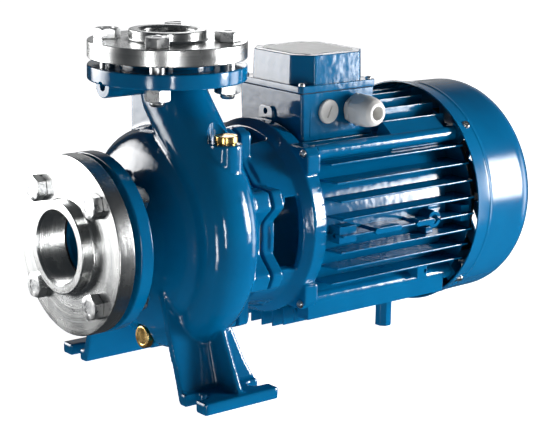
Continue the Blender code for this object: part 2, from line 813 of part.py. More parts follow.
def motor_frame():
    """The motor's body. Its screws, blocks and bosses are the same on both sides."""
    place = along_x(0)
    made = cylinder(
        "motor_frame", BARREL_RADIUS, MOTOR_FRONT_X, BARREL_REAR_X, BLUE_PAINT, place, 48
    )
    spigot_end = MOTOR_FRONT_X + 0.003
    spigot = cylinder("frame_spigot", 0.101, MOTOR_FRONT_X, spigot_end, BLUE_PAINT, place, 48)
    tail = cylinder("frame_tail", TAIL_RADIUS, 0.300, MOTOR_REAR_X, BLUE_PAINT, place, 48)
    support = at(SUPPORT_X, 0, 0)
    boss = cylinder("support_boss", 0.013, SUPPORT_TOP, 0.070, BLUE_PAINT, support, 16)
    shapes = [spigot, tail, boss, *side_fins(), *standing_fins(), *corner_ribs()]
    room = [
        cylinder("shaft_room", SHAFT_RADIUS + 0.006, 0.120, spigot_end, BLUE_PAINT, place, 24),
        cylinder("ring_room", RING_RADIUS + FIT_GAP, 0.100, MOTOR_FRONT_X, BLUE_PAINT, place, 48),
        *ear("ear_room", 0.100, MOTOR_FRONT_X, FIT_GAP),
    ]
    for side in (-1, 1):
        shapes += side_blocks(side)
        spot = at(LIFT_X, 0, SHAFT_HEIGHT + FIN_OFFSET) @ Matrix.Rotation(radians(90), 4, "X")
        low, high = sorted((side * 0.085, side * LIFT_REACH))
        shapes.append(cylinder(f"lifting_boss_{side + 1}", 0.0095, low, high, BLUE_PAINT, spot, 18))
        low, high = sorted((side * 0.104, side * (LIFT_REACH + 0.005)))
        room.append(cylinder(f"lifting_hole_{side + 1}", 0.005, low, high, BLUE_PAINT, spot, 14))
    saddle_low = (BOX_X - 0.052, -0.054, 0.215)
    saddle_high = (BOX_X + 0.052, 0.054, BOX_FOOT_Z)
    shapes.append(box("box_saddle", saddle_low, saddle_high, BLUE_PAINT))
    join(made, shapes)
    cut(made, room)


def fin_reach(radius, offset):
    """How far a fin at this offset from the shaft reaches, so that its corner is on the radius."""
    return sqrt(radius**2 - (abs(offset) + FIN_THICKNESS / 2) ** 2)


def side_fins():
    """Level fins with a slanted front end."""
    fins = []
    rear = MOTOR_REAR_X - 0.001
    half = FIN_THICKNESS / 2
    for i in range(-3, 5):
        z = FIN_OFFSET + FIN_PITCH * i
        reach = fin_reach(FIN_RADIUS, z)
        front = (FIN_FRONT_X - FIN_SLANT, FIN_ROOT), (FIN_FRONT_X, reach)
        for side in (-1, 1):
            outline = [(x, side * y) for x, y in (*front, (rear, reach), (rear, FIN_ROOT))]
            place = at(0, 0, SHAFT_HEIGHT + z)
            fins.append(
                extruded(f"side_fin_{i + 3}_{side + 1}", outline, -half, half, BLUE_PAINT, place)
            )
    return fins


def standing_fins():
    """Upright fins: the upper ones behind the terminal box, the lower ones from the ring on."""
    fins = []
    half = FIN_THICKNESS / 2
    rear = MOTOR_REAR_X - 0.001
    for i in range(-4, 4):
        y = FIN_PITCH * (i + 0.5)
        top = SHAFT_HEIGHT + fin_reach(FIN_RADIUS, y)
        low = SHAFT_HEIGHT - fin_reach(LOW_FIN_RADIUS, y)
        corners = (
            (f"top_fin_{i + 4}", TOP_FIN_FRONT_X, SHAFT_HEIGHT + FIN_ROOT, top),
            (f"low_fin_{i + 4}", LOW_FIN_FRONT_X, low, SHAFT_HEIGHT - FIN_ROOT),
        )
        for name, front, z_low, z_high in corners:
            fins.append(box(name, (front, y - half, z_low), (rear, y + half, z_high), BLUE_PAINT))
    return fins


def corner_ribs():
    """Round ribs for the long screws at the corners, and square skids under the lower ones."""
    ribs = []
    rear = MOTOR_REAR_X - 0.002
    for degrees in (45, 135, 225, 315):
        y, z = polar(0.113, degrees)
        spot = along_x(0, y, z)
        ribs.append(
            cylinder(f"corner_rib_{degrees}", 0.0085, MOTOR_FRONT_X, rear, BLUE_PAINT, spot, 14)
        )
        turn = along_x(0) @ Matrix.Rotation(radians(degrees), 4, "Z")
        low, high = (0.080, -0.007, MOTOR_FRONT_X), (0.113, 0.007, rear)
        ribs.append(box(f"rib_root_{degrees}", low, high, BLUE_PAINT, turn))
    for side in (-1, 1):
        low, high = sorted((side * 0.070, side * 0.0875))
        corners = (LOW_FIN_FRONT_X, low, 0.0595), (0.324, high, 0.080)
        ribs.append(box(f"skid_{side + 1}", *corners, BLUE_PAINT))
    return ribs


def side_blocks(side):
    """Drilled bosses for feet at both ends of a side, and the pad beside the top fins."""
    blocks = []
    for name, x_low, x_high in (("front", 0.1415, 0.1655), ("rear", 0.322, 0.3345)):
        low, high = sorted((side * 0.080, side * 0.1135))
        corners = (x_low, low, 0.1460), (x_high, high, 0.1640)
        blocks.append(box(f"{name}_block_{side + 1}", *corners, BLUE_PAINT))
    low, high = sorted((side * 0.080, side * 0.098))
    blocks.append(box(f"low_tab_{side + 1}", (0.273, low, 0.084), (0.288, high, 0.100), BLUE_PAINT))
    pad = [(0.050, 0.225), (0.062, 0.2595), (0.066, 0.2595), (0.0815, 0.248), (0.0815, 0.230)]
    outline = [(side * y, z) for y, z in pad]
    name = f"upper_pad_{side + 1}"
    blocks.append(extruded(name, outline, 0.2425, 0.322, BLUE_PAINT, ALONG_SHAFT))
    return blocks


def support_foot():
    """The eight-sided post that holds the motor's tail off the floor."""
    top = SUPPORT_TOP - SEAT_GAP
    place = at(SUPPORT_X, 0, 0)
    cylinder("support_foot", 0.0100, 0, top, BLUE_PAINT, place, sides=8, turn=radians(22.5))


def rear_shield():
    """The end shield that carries the motor's rear bearing, with lugs for the fan cover."""
    low = MOTOR_REAR_X + SEAT_GAP
    made = turned("rear_shield", [
        (0, low + 0.022),
        (0.030, low + 0.022),
        (0.034, low + 0.010),
        (0.108, low + 0.006),
        (0.112, low),
        (0, low),
    ], BLUE_PAINT, along_x(0), steps=36)
    reach = COVER_BEAD_RADIUS - COVER_WALL - FIT_GAP
    lugs = []
    for degrees in (45, 135, 225, 315):
        turn = along_x(0) @ Matrix.Rotation(radians(degrees), 4, "Z")
        corners = (0.095, -0.008, low + 0.0002), (reach, 0.008, low + 0.016)
        lugs.append(box(f"shield_lug_{degrees}", *corners, BLUE_PAINT, turn))
    join(made, lugs)
    room = SHAFT_RADIUS + SEAT_GAP
    hole = cylinder("bearing_hole", room, low + 0.010, low + 0.030, BLUE_PAINT, along_x(0), 24)
    cut(made, [hole])


def cooling_fan():
    """Hub, back plate and radial blades, on the tail of the motor's shaft."""
    low = MOTOR_REAR_X + 0.026
    stub = SHAFT_RADIUS - SEAT_GAP
    made = turned("cooling_fan", [
        (0, low + 0.034),
        (0.018, low + 0.034),
        (0.020, low + 0.006),
        (0.060, low + 0.003),
        (0.060, low),
        (stub, low),
        (stub, low - 0.0155),
        (0, low - 0.0155),
    ], BLACK_PLASTIC, along_x(0), steps=32)
    blades = []
    for i in range(BLADE_COUNT):
        turn = along_x(0) @ Matrix.Rotation(2 * pi * i / BLADE_COUNT, 4, "Z")
        corners = (0.015, -0.0012, low + 0.001), (0.092, 0.0012, low + 0.030)
        blades.append(box(f"fan_blade_{i}", *corners, BLACK_PLASTIC, turn))
    join(made, blades)


def cover_profile(inset):
    """The fan cover's skin from the middle of its rear to its front edge."""
    middle = COVER_REAR_RADIUS - COVER_CORNER
    corner_x = COVER_REAR_X - COVER_CORNER
    radius = COVER_CORNER - inset
    points = [(0, COVER_REAR_X - inset)]
    for degrees in (0, 30, 60, 90):
        turn = radians(degrees)
        points.append((middle + radius * sin(turn), corner_x + radius * cos(turn)))
    points.append((COVER_BEAD_RADIUS - inset, COVER_BEAD_X))
    points.append((COVER_FRONT_RADIUS - inset, COVER_FRONT_X))
    return points


def fan_cover():
    """A thin cowl: flared front edge, straight barrel, rounded rear with air slots."""
    profile = cover_profile(0) + cover_profile(COVER_WALL)[::-1]
    made = turned("fan_cover", profile, BLUE_PAINT, along_x(0), steps=48)
    slots = []
    for i in range(SLOT_COUNT):
        turn = along_x(0) @ Matrix.Rotation(2 * pi * i / SLOT_COUNT, 4, "Z")
        corners = (0.030, -0.0045, COVER_REAR_X - 0.006), (0.085, 0.0045, COVER_REAR_X + 0.003)
        slots.append(box(f"air_slot_{i}", *corners, BLUE_PAINT, turn))
    cut(made, slots)


# Terminal box


def cut_corners(half, corner):
    """A square with its corners cut off, as (x, y) points round the terminal box's axis."""
    near = half - corner
    turns = [(1, 0), (0, 1), (-1, 0), (0, -1)]
    points = []
    for a, b in turns:
        for x, y in ((half, -near), (half, near)):
            points.append((BOX_X + a * x - b * y, b * x + a * y))
    return points


def terminal_box():
    """The box that stands on the motor's saddle, with a drilled pad on its front."""
    sizes = (
        (BOX_FOOT_Z + SEAT_GAP, 0.0500, 0.0530),
        (BOX_RIM_Z - SEAT_GAP, 0.0520, 0.0540),
    )
    signs = ((1, 1), (-1, 1), (-1, -1), (1, -1))
    rings = [[(BOX_X + a * x, b * y, z) for a, b in signs] for z, x, y in sizes]
    made = loft("terminal_box", rings, BLUE_PAINT)
    pad_low, pad_high = (BOX_X - 0.0545, -0.006, 0.262), (BOX_X - 0.045, 0.017, 0.2845)
    join(made, [box("box_pad", pad_low, pad_high, BLUE_PAINT)])
    pad = along_x(0, 0.0045, 0.2725)
    low, high = BOX_X - 0.060, BOX_X - 0.042
    holes = [cylinder("box_pad_hole", 0.0035, low, high, BLUE_PAINT, pad, 12)]
    for name, x, radius in (
        ("plug_hole", PLUG_OUTLET_X, 0.0105),
        ("gland_hole", GLAND_OUTLET_X, 0.0125),
    ):
        facing = at(x, 0, OUTLET_Z) @ Matrix.Rotation(radians(90), 4, "X")
        holes.append(cylinder(name, radius, 0.045, 0.060, BLUE_PAINT, facing, 24))
    room = BARREL_RADIUS + SEAT_GAP
    holes.append(cylinder("barrel_room", room, 0.100, 0.260, BLUE_PAINT, along_x(0), 48))
    cut(made, holes)


def terminal_box_lid():
    """A lid with a square rim and a dome whose corners are cut off."""
    outline = cut_corners(0.0545, 0.004)
    rim = extruded("terminal_box_lid", outline, BOX_RIM_Z, LID_RIM_Z, BLUE_PAINT)
    sizes = ((LID_RIM_Z - 0.002, 0.0510), (LID_TOP_Z - 0.0015, 0.0505), (LID_TOP_Z, 0.0490))
    rings = [[(x, y, z) for x, y in cut_corners(half, 0.0193)] for z, half in sizes]
    join(rim, [loft("lid_dome", rings, BLUE_PAINT)])


def outlet_place(x):
    """A place on the box's near side, facing out."""
    return at(x, BOX_FRONT_Y + SEAT_GAP, OUTLET_Z) @ Matrix.Rotation(radians(90), 4, "X")


def blind_plug():
    """The plug that closes the unused cable outlet, with a slot for a coin."""
    facing = outlet_place(PLUG_OUTLET_X)
    made = turned("blind_plug", [
        (0, 0.0035),
        (0.0120, 0.0035),
        (0.0132, 0.0020),
        (0.0132, 2 * SEAT_GAP),
        (0.0100, 2 * SEAT_GAP),
        (0.0100, -0.007),
        (0, -0.007),
    ], WHITE_PLASTIC, facing, steps=28)
    turn = facing @ Matrix.Rotation(radians(65), 4, "Z")
    low, high = (-0.007, -0.0008, 0.0027), (0.007, 0.0008, 0.006)
    cut(made, [box("plug_slot", low, high, WHITE_PLASTIC, turn)])


def cable_gland():
    """Body, hexagon and dome nut of the gland, with the cable's way through."""
    facing = outlet_place(GLAND_OUTLET_X)
    made = turned("cable_gland", [
        (0.0075, 0.0410),
        (0.0112, 0.0410),
        (0.0148, 0.0365),
        (0.0166, 0.0260),
        (0.0172, 0.0115),
        (0.0155, 0.0105),
        (0.0155, 0.0045),
        (0.0130, 0.0045),
        (0.0130, 2 * SEAT_GAP),
        (0.0120, 2 * SEAT_GAP),
        (0.0120, -0.007),
        (0.0075, -0.007),
    ], WHITE_PLASTIC, facing, steps=28, closed=True)
    nut = cylinder("gland_hexagon", 0.0181, 0.0042, 0.0100, WHITE_PLASTIC, facing, 6)
    cut(nut, [cylinder("hexagon_bore", 0.0100, -0.010, 0.020, WHITE_PLASTIC, facing, 24)])
    join(made, [nut])


def build_pump():
    volute_casing()
    suction_branch()
    delivery_branch()
    leg("near_foot", 1)
    leg("far_foot", -1)
    for branch, place in ((SUCTION, SUCTION_PLACE), (DELIVERY, DELIVERY_PLACE)):
        counter_flange(branch, place)
        gasket(branch, place)
        flange_bolts(branch, place)
    for name, place, _, _ in plug_places():
        plug(f"{name}_plug", place)
    impeller()
    pump_shaft()
    casing_cover()
    lantern_bracket()
    motor_frame()
    support_foot()
    rear_shield()
    cooling_fan()
    fan_cover()
    terminal_box()
    terminal_box_lid()
    blind_plug()
    cable_gland()


build_pump()
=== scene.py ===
# %% [markdown]
# A close-coupled centrifugal pump: a cast volute casing stands on two feet, an open lantern
# joins it to a finned electric motor, and two steel counter-flanges take the pipes. The
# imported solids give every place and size. This lesson puts light, paint and fine shape on
# them, one piece at a time.

# %% Load the solids
import json
from math import atan2, cos, pi, radians, sin, sqrt, tan

import bmesh
import bpy
from mathutils import Matrix, Vector

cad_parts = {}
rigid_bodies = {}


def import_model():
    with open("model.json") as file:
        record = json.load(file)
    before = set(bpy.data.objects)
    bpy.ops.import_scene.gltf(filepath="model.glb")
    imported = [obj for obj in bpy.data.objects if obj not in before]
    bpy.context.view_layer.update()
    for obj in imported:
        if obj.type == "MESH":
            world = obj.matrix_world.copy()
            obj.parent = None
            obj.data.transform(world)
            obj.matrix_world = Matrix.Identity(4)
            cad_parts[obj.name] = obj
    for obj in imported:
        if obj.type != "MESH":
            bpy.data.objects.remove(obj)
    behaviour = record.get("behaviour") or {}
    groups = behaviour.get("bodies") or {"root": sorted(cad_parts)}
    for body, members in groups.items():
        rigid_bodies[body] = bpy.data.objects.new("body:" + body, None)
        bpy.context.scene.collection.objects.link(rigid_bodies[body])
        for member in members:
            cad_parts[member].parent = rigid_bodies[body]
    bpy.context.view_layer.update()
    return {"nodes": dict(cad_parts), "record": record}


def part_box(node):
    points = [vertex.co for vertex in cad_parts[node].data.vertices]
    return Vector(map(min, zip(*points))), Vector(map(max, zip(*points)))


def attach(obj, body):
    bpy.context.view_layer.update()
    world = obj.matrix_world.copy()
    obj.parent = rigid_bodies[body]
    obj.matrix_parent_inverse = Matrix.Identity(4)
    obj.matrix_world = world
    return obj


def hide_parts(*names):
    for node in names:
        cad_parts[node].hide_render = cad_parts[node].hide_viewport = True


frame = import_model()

nodes = frame["nodes"]

# %% [markdown]
# All of the pump's sizes are known from its delivery branch, which stands straight over the
# middle of the casing. So that axis is read from the solids once, and every piece is made
# about it, with the floor at height zero. The last step of each piece moves it to its place.

# %% Find the pump's two axes
low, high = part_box("delivery_counter_flange")
DELIVERY_X = (low.x + high.x) / 2
low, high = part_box("suction_counter_flange")
SHAFT_Z = (low.z + high.z) / 2
print("delivery axis at x =", round(DELIVERY_X, 4), "shaft at z =", round(SHAFT_Z, 4))

# %% [markdown]
# The camera looks at the near side from the suction end, turned 39 degrees away from square
# on, a little from above, and through a long lens that keeps the flanges round. It is turned
# by matrices in the order turn, tilt, roll, which is easier to follow than Euler angles.

# %% Place the camera
CAMERA_PLACE = Vector((DELIVERY_X - 1.038549, -1.438486, 0.594006))
CAMERA_TURN = radians(39.487)
CAMERA_TILT = radians(13.391)
CAMERA_ROLL = radians(0.980)
camera_data = bpy.data.cameras.new("studio_camera")
camera_data.lens = 113.615
camera_data.sensor_width = 36
camera_data.clip_start = 0.05
camera = bpy.data.objects.new("studio_camera", camera_data)
camera.matrix_world = (
    Matrix.Translation(CAMERA_PLACE)
    @ Matrix.Rotation(-CAMERA_TURN, 4, "Z")
    @ Matrix.Rotation(pi / 2 - CAMERA_TILT, 4, "X")
    @ Matrix.Rotation(CAMERA_ROLL, 4, "Z")
)
bpy.context.scene.collection.objects.link(camera)
bpy.context.scene.camera = camera
print("camera", tuple(round(v, 3) for v in CAMERA_PLACE), "lens", round(camera_data.lens, 1), "mm")

# %% [markdown]
# The floor is a wide pale disc. The pump stands on it by its two feet and its post, so it
# lies at height zero.

# %% Lay the floor
bm = bmesh.new()
bmesh.ops.create_circle(bm, cap_ends=True, segments=96, radius=6)
floor_mesh = bpy.data.meshes.new("floor")
bm.to_mesh(floor_mesh)
bm.free()
floor = bpy.data.objects.new("floor", floor_mesh)
bpy.context.scene.collection.objects.link(floor)
floor_paint = bpy.data.materials.new("floor_white")
floor_paint.use_nodes = True
floor_shader = floor_paint.node_tree.nodes["Principled BSDF"]
floor_shader.inputs["Base Color"].default_value = (0.90, 0.90, 0.90, 1)
floor_shader.inputs["Roughness"].default_value = 0.9
floor_shader.inputs["Specular IOR Level"].default_value = 0.0
floor_shader.inputs["Emission Color"].default_value = (1, 1, 1, 1)
floor_shader.inputs["Emission Strength"].default_value = 1.05
floor_mesh.materials.append(floor_paint)
floor.visible_glossy = False
print("floor laid")

# %% [markdown]
# Gloss paint shows what stands around it. The studio is dark but for soft panels: a strong
# key light low on the right with a dimmer one behind it, a wide one on the left that whitens
# the faces that look along the shaft, two slim strips in front, a faint wall behind the pump,
# and a small panel above that wall. Some reach below the floor, so the floor casts no shadow.
# Each panel is brightest in its middle, like a real soft box, because its glow is multiplied
# by a bump that falls to nothing at its edges.

# %% Hang the lights
world = bpy.data.worlds.new("studio")
world.use_nodes = True
world.node_tree.nodes["Background"].inputs["Color"].default_value = (0.80, 0.90, 1.0, 1)
world.node_tree.nodes["Background"].inputs["Strength"].default_value = 0.05
bpy.context.scene.world = world
bpy.context.scene.view_settings.view_transform = "Standard"
STUDIO_MIDDLE = Vector((0, 0, 0.18))
PANEL_DISTANCE = 2.5


def soften(light, strength):
    """Makes the light fade from its middle to its edges."""
    light.use_nodes = True
    tree = light.node_tree
    place = tree.nodes.new("ShaderNodeNewGeometry")
    centred = tree.nodes.new("ShaderNodeVectorMath")
    centred.operation = "MULTIPLY_ADD"
    centred.inputs[1].default_value = (2, 2, 0)
    centred.inputs[2].default_value = (-1, -1, 0)
    tree.links.new(place.outputs["Parametric"], centred.inputs[0])
    squared = tree.nodes.new("ShaderNodeVectorMath")
    squared.operation = "MULTIPLY"
    for socket in (0, 1):
        tree.links.new(centred.outputs["Vector"], squared.inputs[socket])
    sides = tree.nodes.new("ShaderNodeSeparateXYZ")
    tree.links.new(squared.outputs["Vector"], sides.inputs["Vector"])
    fades = []
    for axis in ("X", "Y"):
        fade = tree.nodes.new("ShaderNodeMath")
        fade.operation = "SUBTRACT"
        fade.use_clamp = True
        fade.inputs[0].default_value = 1
        tree.links.new(sides.outputs[axis], fade.inputs[1])
        fades.append(fade)
    both = tree.nodes.new("ShaderNodeMath")
    both.operation = "MULTIPLY"
    tree.links.new(fades[0].outputs[0], both.inputs[0])
    tree.links.new(fades[1].outputs[0], both.inputs[1])
    scaled = tree.nodes.new("ShaderNodeMath")
    scaled.operation = "MULTIPLY"
    scaled.inputs[1].default_value = strength
    tree.links.new(both.outputs[0], scaled.inputs[0])
    tree.links.new(scaled.outputs[0], tree.nodes["Emission"].inputs["Strength"])


def panel(name, azimuth, elevation, wide, tall, glow, shows_in="both"):
    """A soft box that faces the pump. Its place and size are in degrees, seen from the pump."""
    turn, rise = radians(azimuth), radians(elevation)
    ray = Vector((cos(rise) * cos(turn), cos(rise) * sin(turn), sin(rise)))
    light = bpy.data.lights.new(name, "AREA")
    light.shape = "RECTANGLE"
    light.size = 2 * PANEL_DISTANCE * tan(radians(wide / 2))
    light.size_y = 2 * PANEL_DISTANCE * tan(radians(tall / 2))
    light.energy = light.size * light.size_y * pi
    soften(light, glow)
    made = bpy.data.objects.new(name, light)
    turned_in = (-ray).to_track_quat("-Z", "Y").to_matrix().to_4x4()
    made.matrix_world = Matrix.Translation(STUDIO_MIDDLE + ray * PANEL_DISTANCE) @ turned_in
    made.visible_camera = False
    made.visible_diffuse = shows_in != "gloss"
    bpy.context.scene.collection.objects.link(made)
    return made


floor.visible_shadow = False
panel("key_box", azimuth=-40, elevation=6.5, wide=18, tall=31, glow=56)
panel("rear_box", azimuth=123, elevation=10.5, wide=50, tall=50, glow=16, shows_in="gloss")
panel("right_box", azimuth=-16, elevation=-4, wide=26, tall=34, glow=6)
panel("front_strip", azimuth=-121, elevation=1, wide=7, tall=24, glow=26, shows_in="gloss")
panel("left_strip", azimuth=-152, elevation=-12, wide=8, tall=24, glow=20, shows_in="gloss")
panel("back_wall", azimuth=48, elevation=14, wide=64, tall=40, glow=0.45, shows_in="gloss")
panel("lid_box", azimuth=50, elevation=17, wide=18, tall=14, glow=4, shows_in="gloss")
print("lights hung")

# %% [markdown]
# Most of the pump was turned on a lathe, so the first helper turns a profile about Z. The
# profile is a line of (radius, height) points, and a third number rounds that corner: the
# vertex bevel does this on bare edges, before the spin makes faces of them.

# %% Turn a profile
def wire(points, place, closed):
    """Lays a line of points, each with an optional rounding, and rounds its corners."""
    bm = bmesh.new()
    verts = [bm.verts.new(place(point[0], point[1])) for point in points]
    pairs = list(zip(verts, verts[1:]))
    if closed:
        pairs.append((verts[-1], verts[0]))
    for pair in pairs:
        bm.edges.new(pair)
    for vert, point in zip(verts, points):
        if len(point) == 3:
            bmesh.ops.bevel(
                bm, geom=[vert], offset=point[2], offset_type="OFFSET", segments=3,
                profile=0.5, affect="VERTICES", material=-1,
            )
    return bm


def turned(points, steps=96, closed=False):
    """A lathe-turned shape about Z, from (radius, height[, rounding]) points."""
    bm = wire(points, lambda radius, height: (radius, 0, height), closed)
    geometry = list(bm.verts) + list(bm.edges)
    bmesh.ops.spin(
        bm, geom=geometry, cent=(0, 0, 0), axis=(0, 0, 1), dvec=(0, 0, 0), angle=2 * pi,
        steps=steps, use_merge=True, use_duplicate=False,
    )
    bmesh.ops.remove_doubles(bm, verts=bm.verts, dist=1e-6)
    bmesh.ops.recalc_face_normals(bm, faces=bm.faces)
    return bm


washer = turned([(0.02, 0.002, 0.0005), (0.02, 0), (0.01, 0), (0.01, 0.002)], 24, closed=True)
print("a turned washer has", len(washer.faces), "faces")
washer.free()

# %% [markdown]
# Ribs, pads and feet are flat outlines drawn out to a thickness, and blocks are cubes. Real
# castings and pressings have no sharp edge, so both helpers round their edges at once.

# %% Draw out an outline, and make a block
def round_edges(bm, size, segments=2, steeper_than=20):
    """Bevels every edge whose faces meet at more than this angle."""
    if size:
        sharp = [
            edge
            for edge in bm.edges
            if len(edge.link_faces) == 2 and edge.calc_face_angle() > radians(steeper_than)
        ]
        bmesh.ops.bevel(
            bm, geom=sharp, offset=size, offset_type="OFFSET", segments=segments, profile=0.5,
            affect="EDGES", material=-1, clamp_overlap=True,
        )
    return bm


def drawn_out(points, low, high, edge=0.0):
    """A flat outline of (x, y[, rounding]) points, filled and drawn out along Z."""
    bm = wire(points, lambda x, y: (x, y, low), closed=True)
    bmesh.ops.contextual_create(bm, geom=list(bm.edges))
    drawn = bmesh.ops.extrude_face_region(bm, geom=list(bm.faces))
    raised = [item for item in drawn["geom"] if isinstance(item, bmesh.types.BMVert)]
    bmesh.ops.translate(bm, vec=(0, 0, high - low), verts=raised)
    bmesh.ops.recalc_face_normals(bm, faces=bm.faces)
    return round_edges(bm, edge)


def block(low, high, edge=0.0):
    """A cube stretched between two corners."""
    bm = bmesh.new()
    bmesh.ops.create_cube(bm, size=1)
    size = Vector(high) - Vector(low)
    middle = (Vector(high) + Vector(low)) / 2
    stretched = Matrix.Translation(middle) @ Matrix.Diagonal((*size, 1))
    bmesh.ops.transform(bm, matrix=stretched, verts=bm.verts)
    return round_edges(bm, edge)


def rod(radius, low, high, sides=32, edge=0.0):
    """A cylinder or prism along Z."""
    bm = bmesh.new()
    bmesh.ops.create_cone(
        bm, cap_ends=True, segments=sides, radius1=radius, radius2=radius, depth=high - low
    )
    bmesh.ops.translate(bm, vec=(0, 0, (low + high) / 2), verts=bm.verts)
    return round_edges(bm, edge, steeper_than=40)


# %% [markdown]
# A shape is made about its own Z axis and then turned into place. These are the turns that
# come back all over the pump: along the shaft, out of the near side, and to the suction side.

# %% Turn shapes into place
ALONG_SHAFT = Matrix(((0, 0, 1, 0), (1, 0, 0, 0), (0, 1, 0, 0), (0, 0, 0, 1)))


def moved(bm, matrix):
    bmesh.ops.transform(bm, matrix=matrix, verts=bm.verts)
    if matrix.to_3x3().determinant() < 0:
        bmesh.ops.reverse_faces(bm, faces=bm.faces)
    return bm


def at(x, y, z):
    return Matrix.Translation((x, y, z))


def shaftwise(x=0.0, y=0.0, z=None):
    """A shape's Z becomes the shaft's +X, its X becomes +Y and its Y becomes +Z."""
    return at(x, y, SHAFT_Z if z is None else z) @ ALONG_SHAFT


def facing_near(x, y, z):
    """A shape's Z comes out of the near side, -Y."""
    return at(x, y, z) @ Matrix.Rotation(radians(90), 4, "X")


def facing_suction(x, y, z):
    """A shape's Z comes out towards the suction side, -X."""
    return at(x, y, z) @ Matrix.Rotation(radians(-90), 4, "Y")


def polar(radius, degrees):
    """A (y, z) place about the shaft: 0 degrees is the near side (-Y) and 90 is the top."""
    return -radius * cos(radians(degrees)), SHAFT_Z + radius * sin(radians(degrees))


print("45 degrees up on the near side, 100 mm out:", [round(v, 4) for v in polar(0.1, 45)])

# %% [markdown]
# Separate shells are gathered in one mesh, welded or cut by Boolean modifiers, and written
# down as plain meshes. The casting helper is the important one: it wraps its shells in a
# fine voxel skin, which welds them, and then relaxes the skin, so that every inner corner
# gets the soft fillet and every edge the round lip that sand casting gives.

# %% Weld, cut and cast
def gathered(shapes):
    """Puts several shapes into one mesh."""
    whole = bmesh.new()
    for shape in shapes:
        mesh = bpy.data.meshes.new("part")
        shape.to_mesh(mesh)
        shape.free()
        whole.from_mesh(mesh)
        bpy.data.meshes.remove(mesh)
    return whole


def worked(shape, steps):
    """Runs modifiers on a shape and returns the finished shape."""
    mesh = bpy.data.meshes.new("work")
    shape.to_mesh(mesh)
    shape.free()
    holder = bpy.data.objects.new("work", mesh)
    bpy.context.scene.collection.objects.link(holder)
    steps(holder)
    graph = bpy.context.evaluated_depsgraph_get()
    done = bpy.data.meshes.new_from_object(holder.evaluated_get(graph))
    result = bmesh.new()
    result.from_mesh(done)
    bpy.data.objects.remove(holder)
    bpy.data.meshes.remove(mesh)
    bpy.data.meshes.remove(done)
    return result


def boolean(shape, tools, operation):
    """Welds or cuts all of the tools at once."""
    group = bpy.data.collections.new("tools")
    for tool in tools:
        mesh = bpy.data.meshes.new("tool")
        tool.to_mesh(mesh)
        tool.free()
        group.objects.link(bpy.data.objects.new("tool", mesh))
    bpy.context.scene.collection.children.link(group)

    def steps(holder):
        modifier = holder.modifiers.new("boolean", "BOOLEAN")
        modifier.operation = operation
        modifier.operand_type = "COLLECTION"
        modifier.collection = group
        modifier.solver = "EXACT"

    result = worked(shape, steps)
    for tool in list(group.objects):
        bpy.data.meshes.remove(tool.data)
    bpy.data.collections.remove(group)
    return result


def welded(shape, tools):
    return boolean(shape, tools, "UNION")


def carved(shape, tools):
    return boolean(shape, tools, "DIFFERENCE")


def cast(shapes, grain, relax, keep=1.0):
    """A sand-cast skin round the shapes. grain is the voxel size, relax the smoothing."""

    def steps(holder):
        skin = holder.modifiers.new("skin", "REMESH")
        skin.mode = "VOXEL"
        skin.voxel_size = grain
        smooth = holder.modifiers.new("relax", "SMOOTH")
        smooth.factor = 0.5
        smooth.iterations = relax
        if keep < 1:
            thin = holder.modifiers.new("thin", "DECIMATE")
            thin.ratio = keep

    return worked(gathered(shapes), steps)


# %% [markdown]
# Every finished piece goes through the same last step. It is moved along the shaft to where
# the solids stand, its round faces are shaded smooth up to an angle, and it takes its finish,
# its body and the solids that it stands for. A Weighted Normal modifier lets the big faces
# decide the shading, so that a flat or a cylinder stays true right up to its narrow bevels.

# %% Finish a piece
def finish(name, shape, finish_name, *replaced, smooth_to=32, look=None):
    """Puts a shape in its place as a finished piece. look is a finish of its own, if it has one."""
    bmesh.ops.translate(shape, vec=(DELIVERY_X, 0, 0), verts=shape.verts)
    mesh = bpy.data.meshes.new(name)
    shape.to_mesh(mesh)
    shape.free()
    mesh.shade_smooth()
    mesh.set_sharp_from_angle(angle=radians(smooth_to))
    mesh.materials.clear()
    mesh.materials.append(look or FINISHES[finish_name])
    piece = bpy.data.objects.new(name, mesh)
    bpy.context.scene.collection.objects.link(piece)
    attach(piece, "root")
    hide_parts(*replaced)
    even = piece.modifiers.new("even_shading", "WEIGHTED_NORMAL")
    even.keep_sharp = True
    triangles = sum(len(face.vertices) - 2 for face in mesh.polygons)
    print(name, triangles, "triangles, stands for", ", ".join(replaced) or "nothing")
    return piece


print("every piece ends with finish")

# %% [markdown]
# The finishes are the other half of the likeness. Each one is a small tree of nodes round a
# Principled shader. Two helpers keep them short: one makes a node with its settings and its
# links, and one reads the place on the piece, centred and turned if the pattern needs it.

# %% Set up the node helpers
def node(tree, kind, inputs=None, **settings):
    """Adds a node. An input is a plain value, or another node's output to link."""
    made = tree.nodes.new(kind)
    for key, value in settings.items():
        setattr(made, key, value)
    for key, value in (inputs or {}).items():
        if isinstance(value, bpy.types.NodeSocket):
            tree.links.new(value, made.inputs[key])
        else:
            made.inputs[key].default_value = value
    return made


def start_finish(name, **values):
    """A new material, its tree and its shader with the fixed values set on its own sockets."""
    made = bpy.data.materials.new(name)
    made.use_nodes = True
    shader = made.node_tree.nodes["Principled BSDF"]
    for key, value in values.items():
        shader.inputs[key.replace("_", " ")].default_value = value
    return made, made.node_tree, shader


def place_on_piece(tree, centre=(0, 0, 0), turn=(0, 0, 0)):
    """The place on the piece in metres, from a centre and turned."""
    here = node(tree, "ShaderNodeTexCoord")
    mapped = node(tree, "ShaderNodeMapping", {"Vector": here.outputs["Object"]})
    mapped.vector_type = "TEXTURE"
    mapped.inputs["Location"].default_value = centre
    mapped.inputs["Rotation"].default_value = turn
    return mapped.outputs["Vector"]


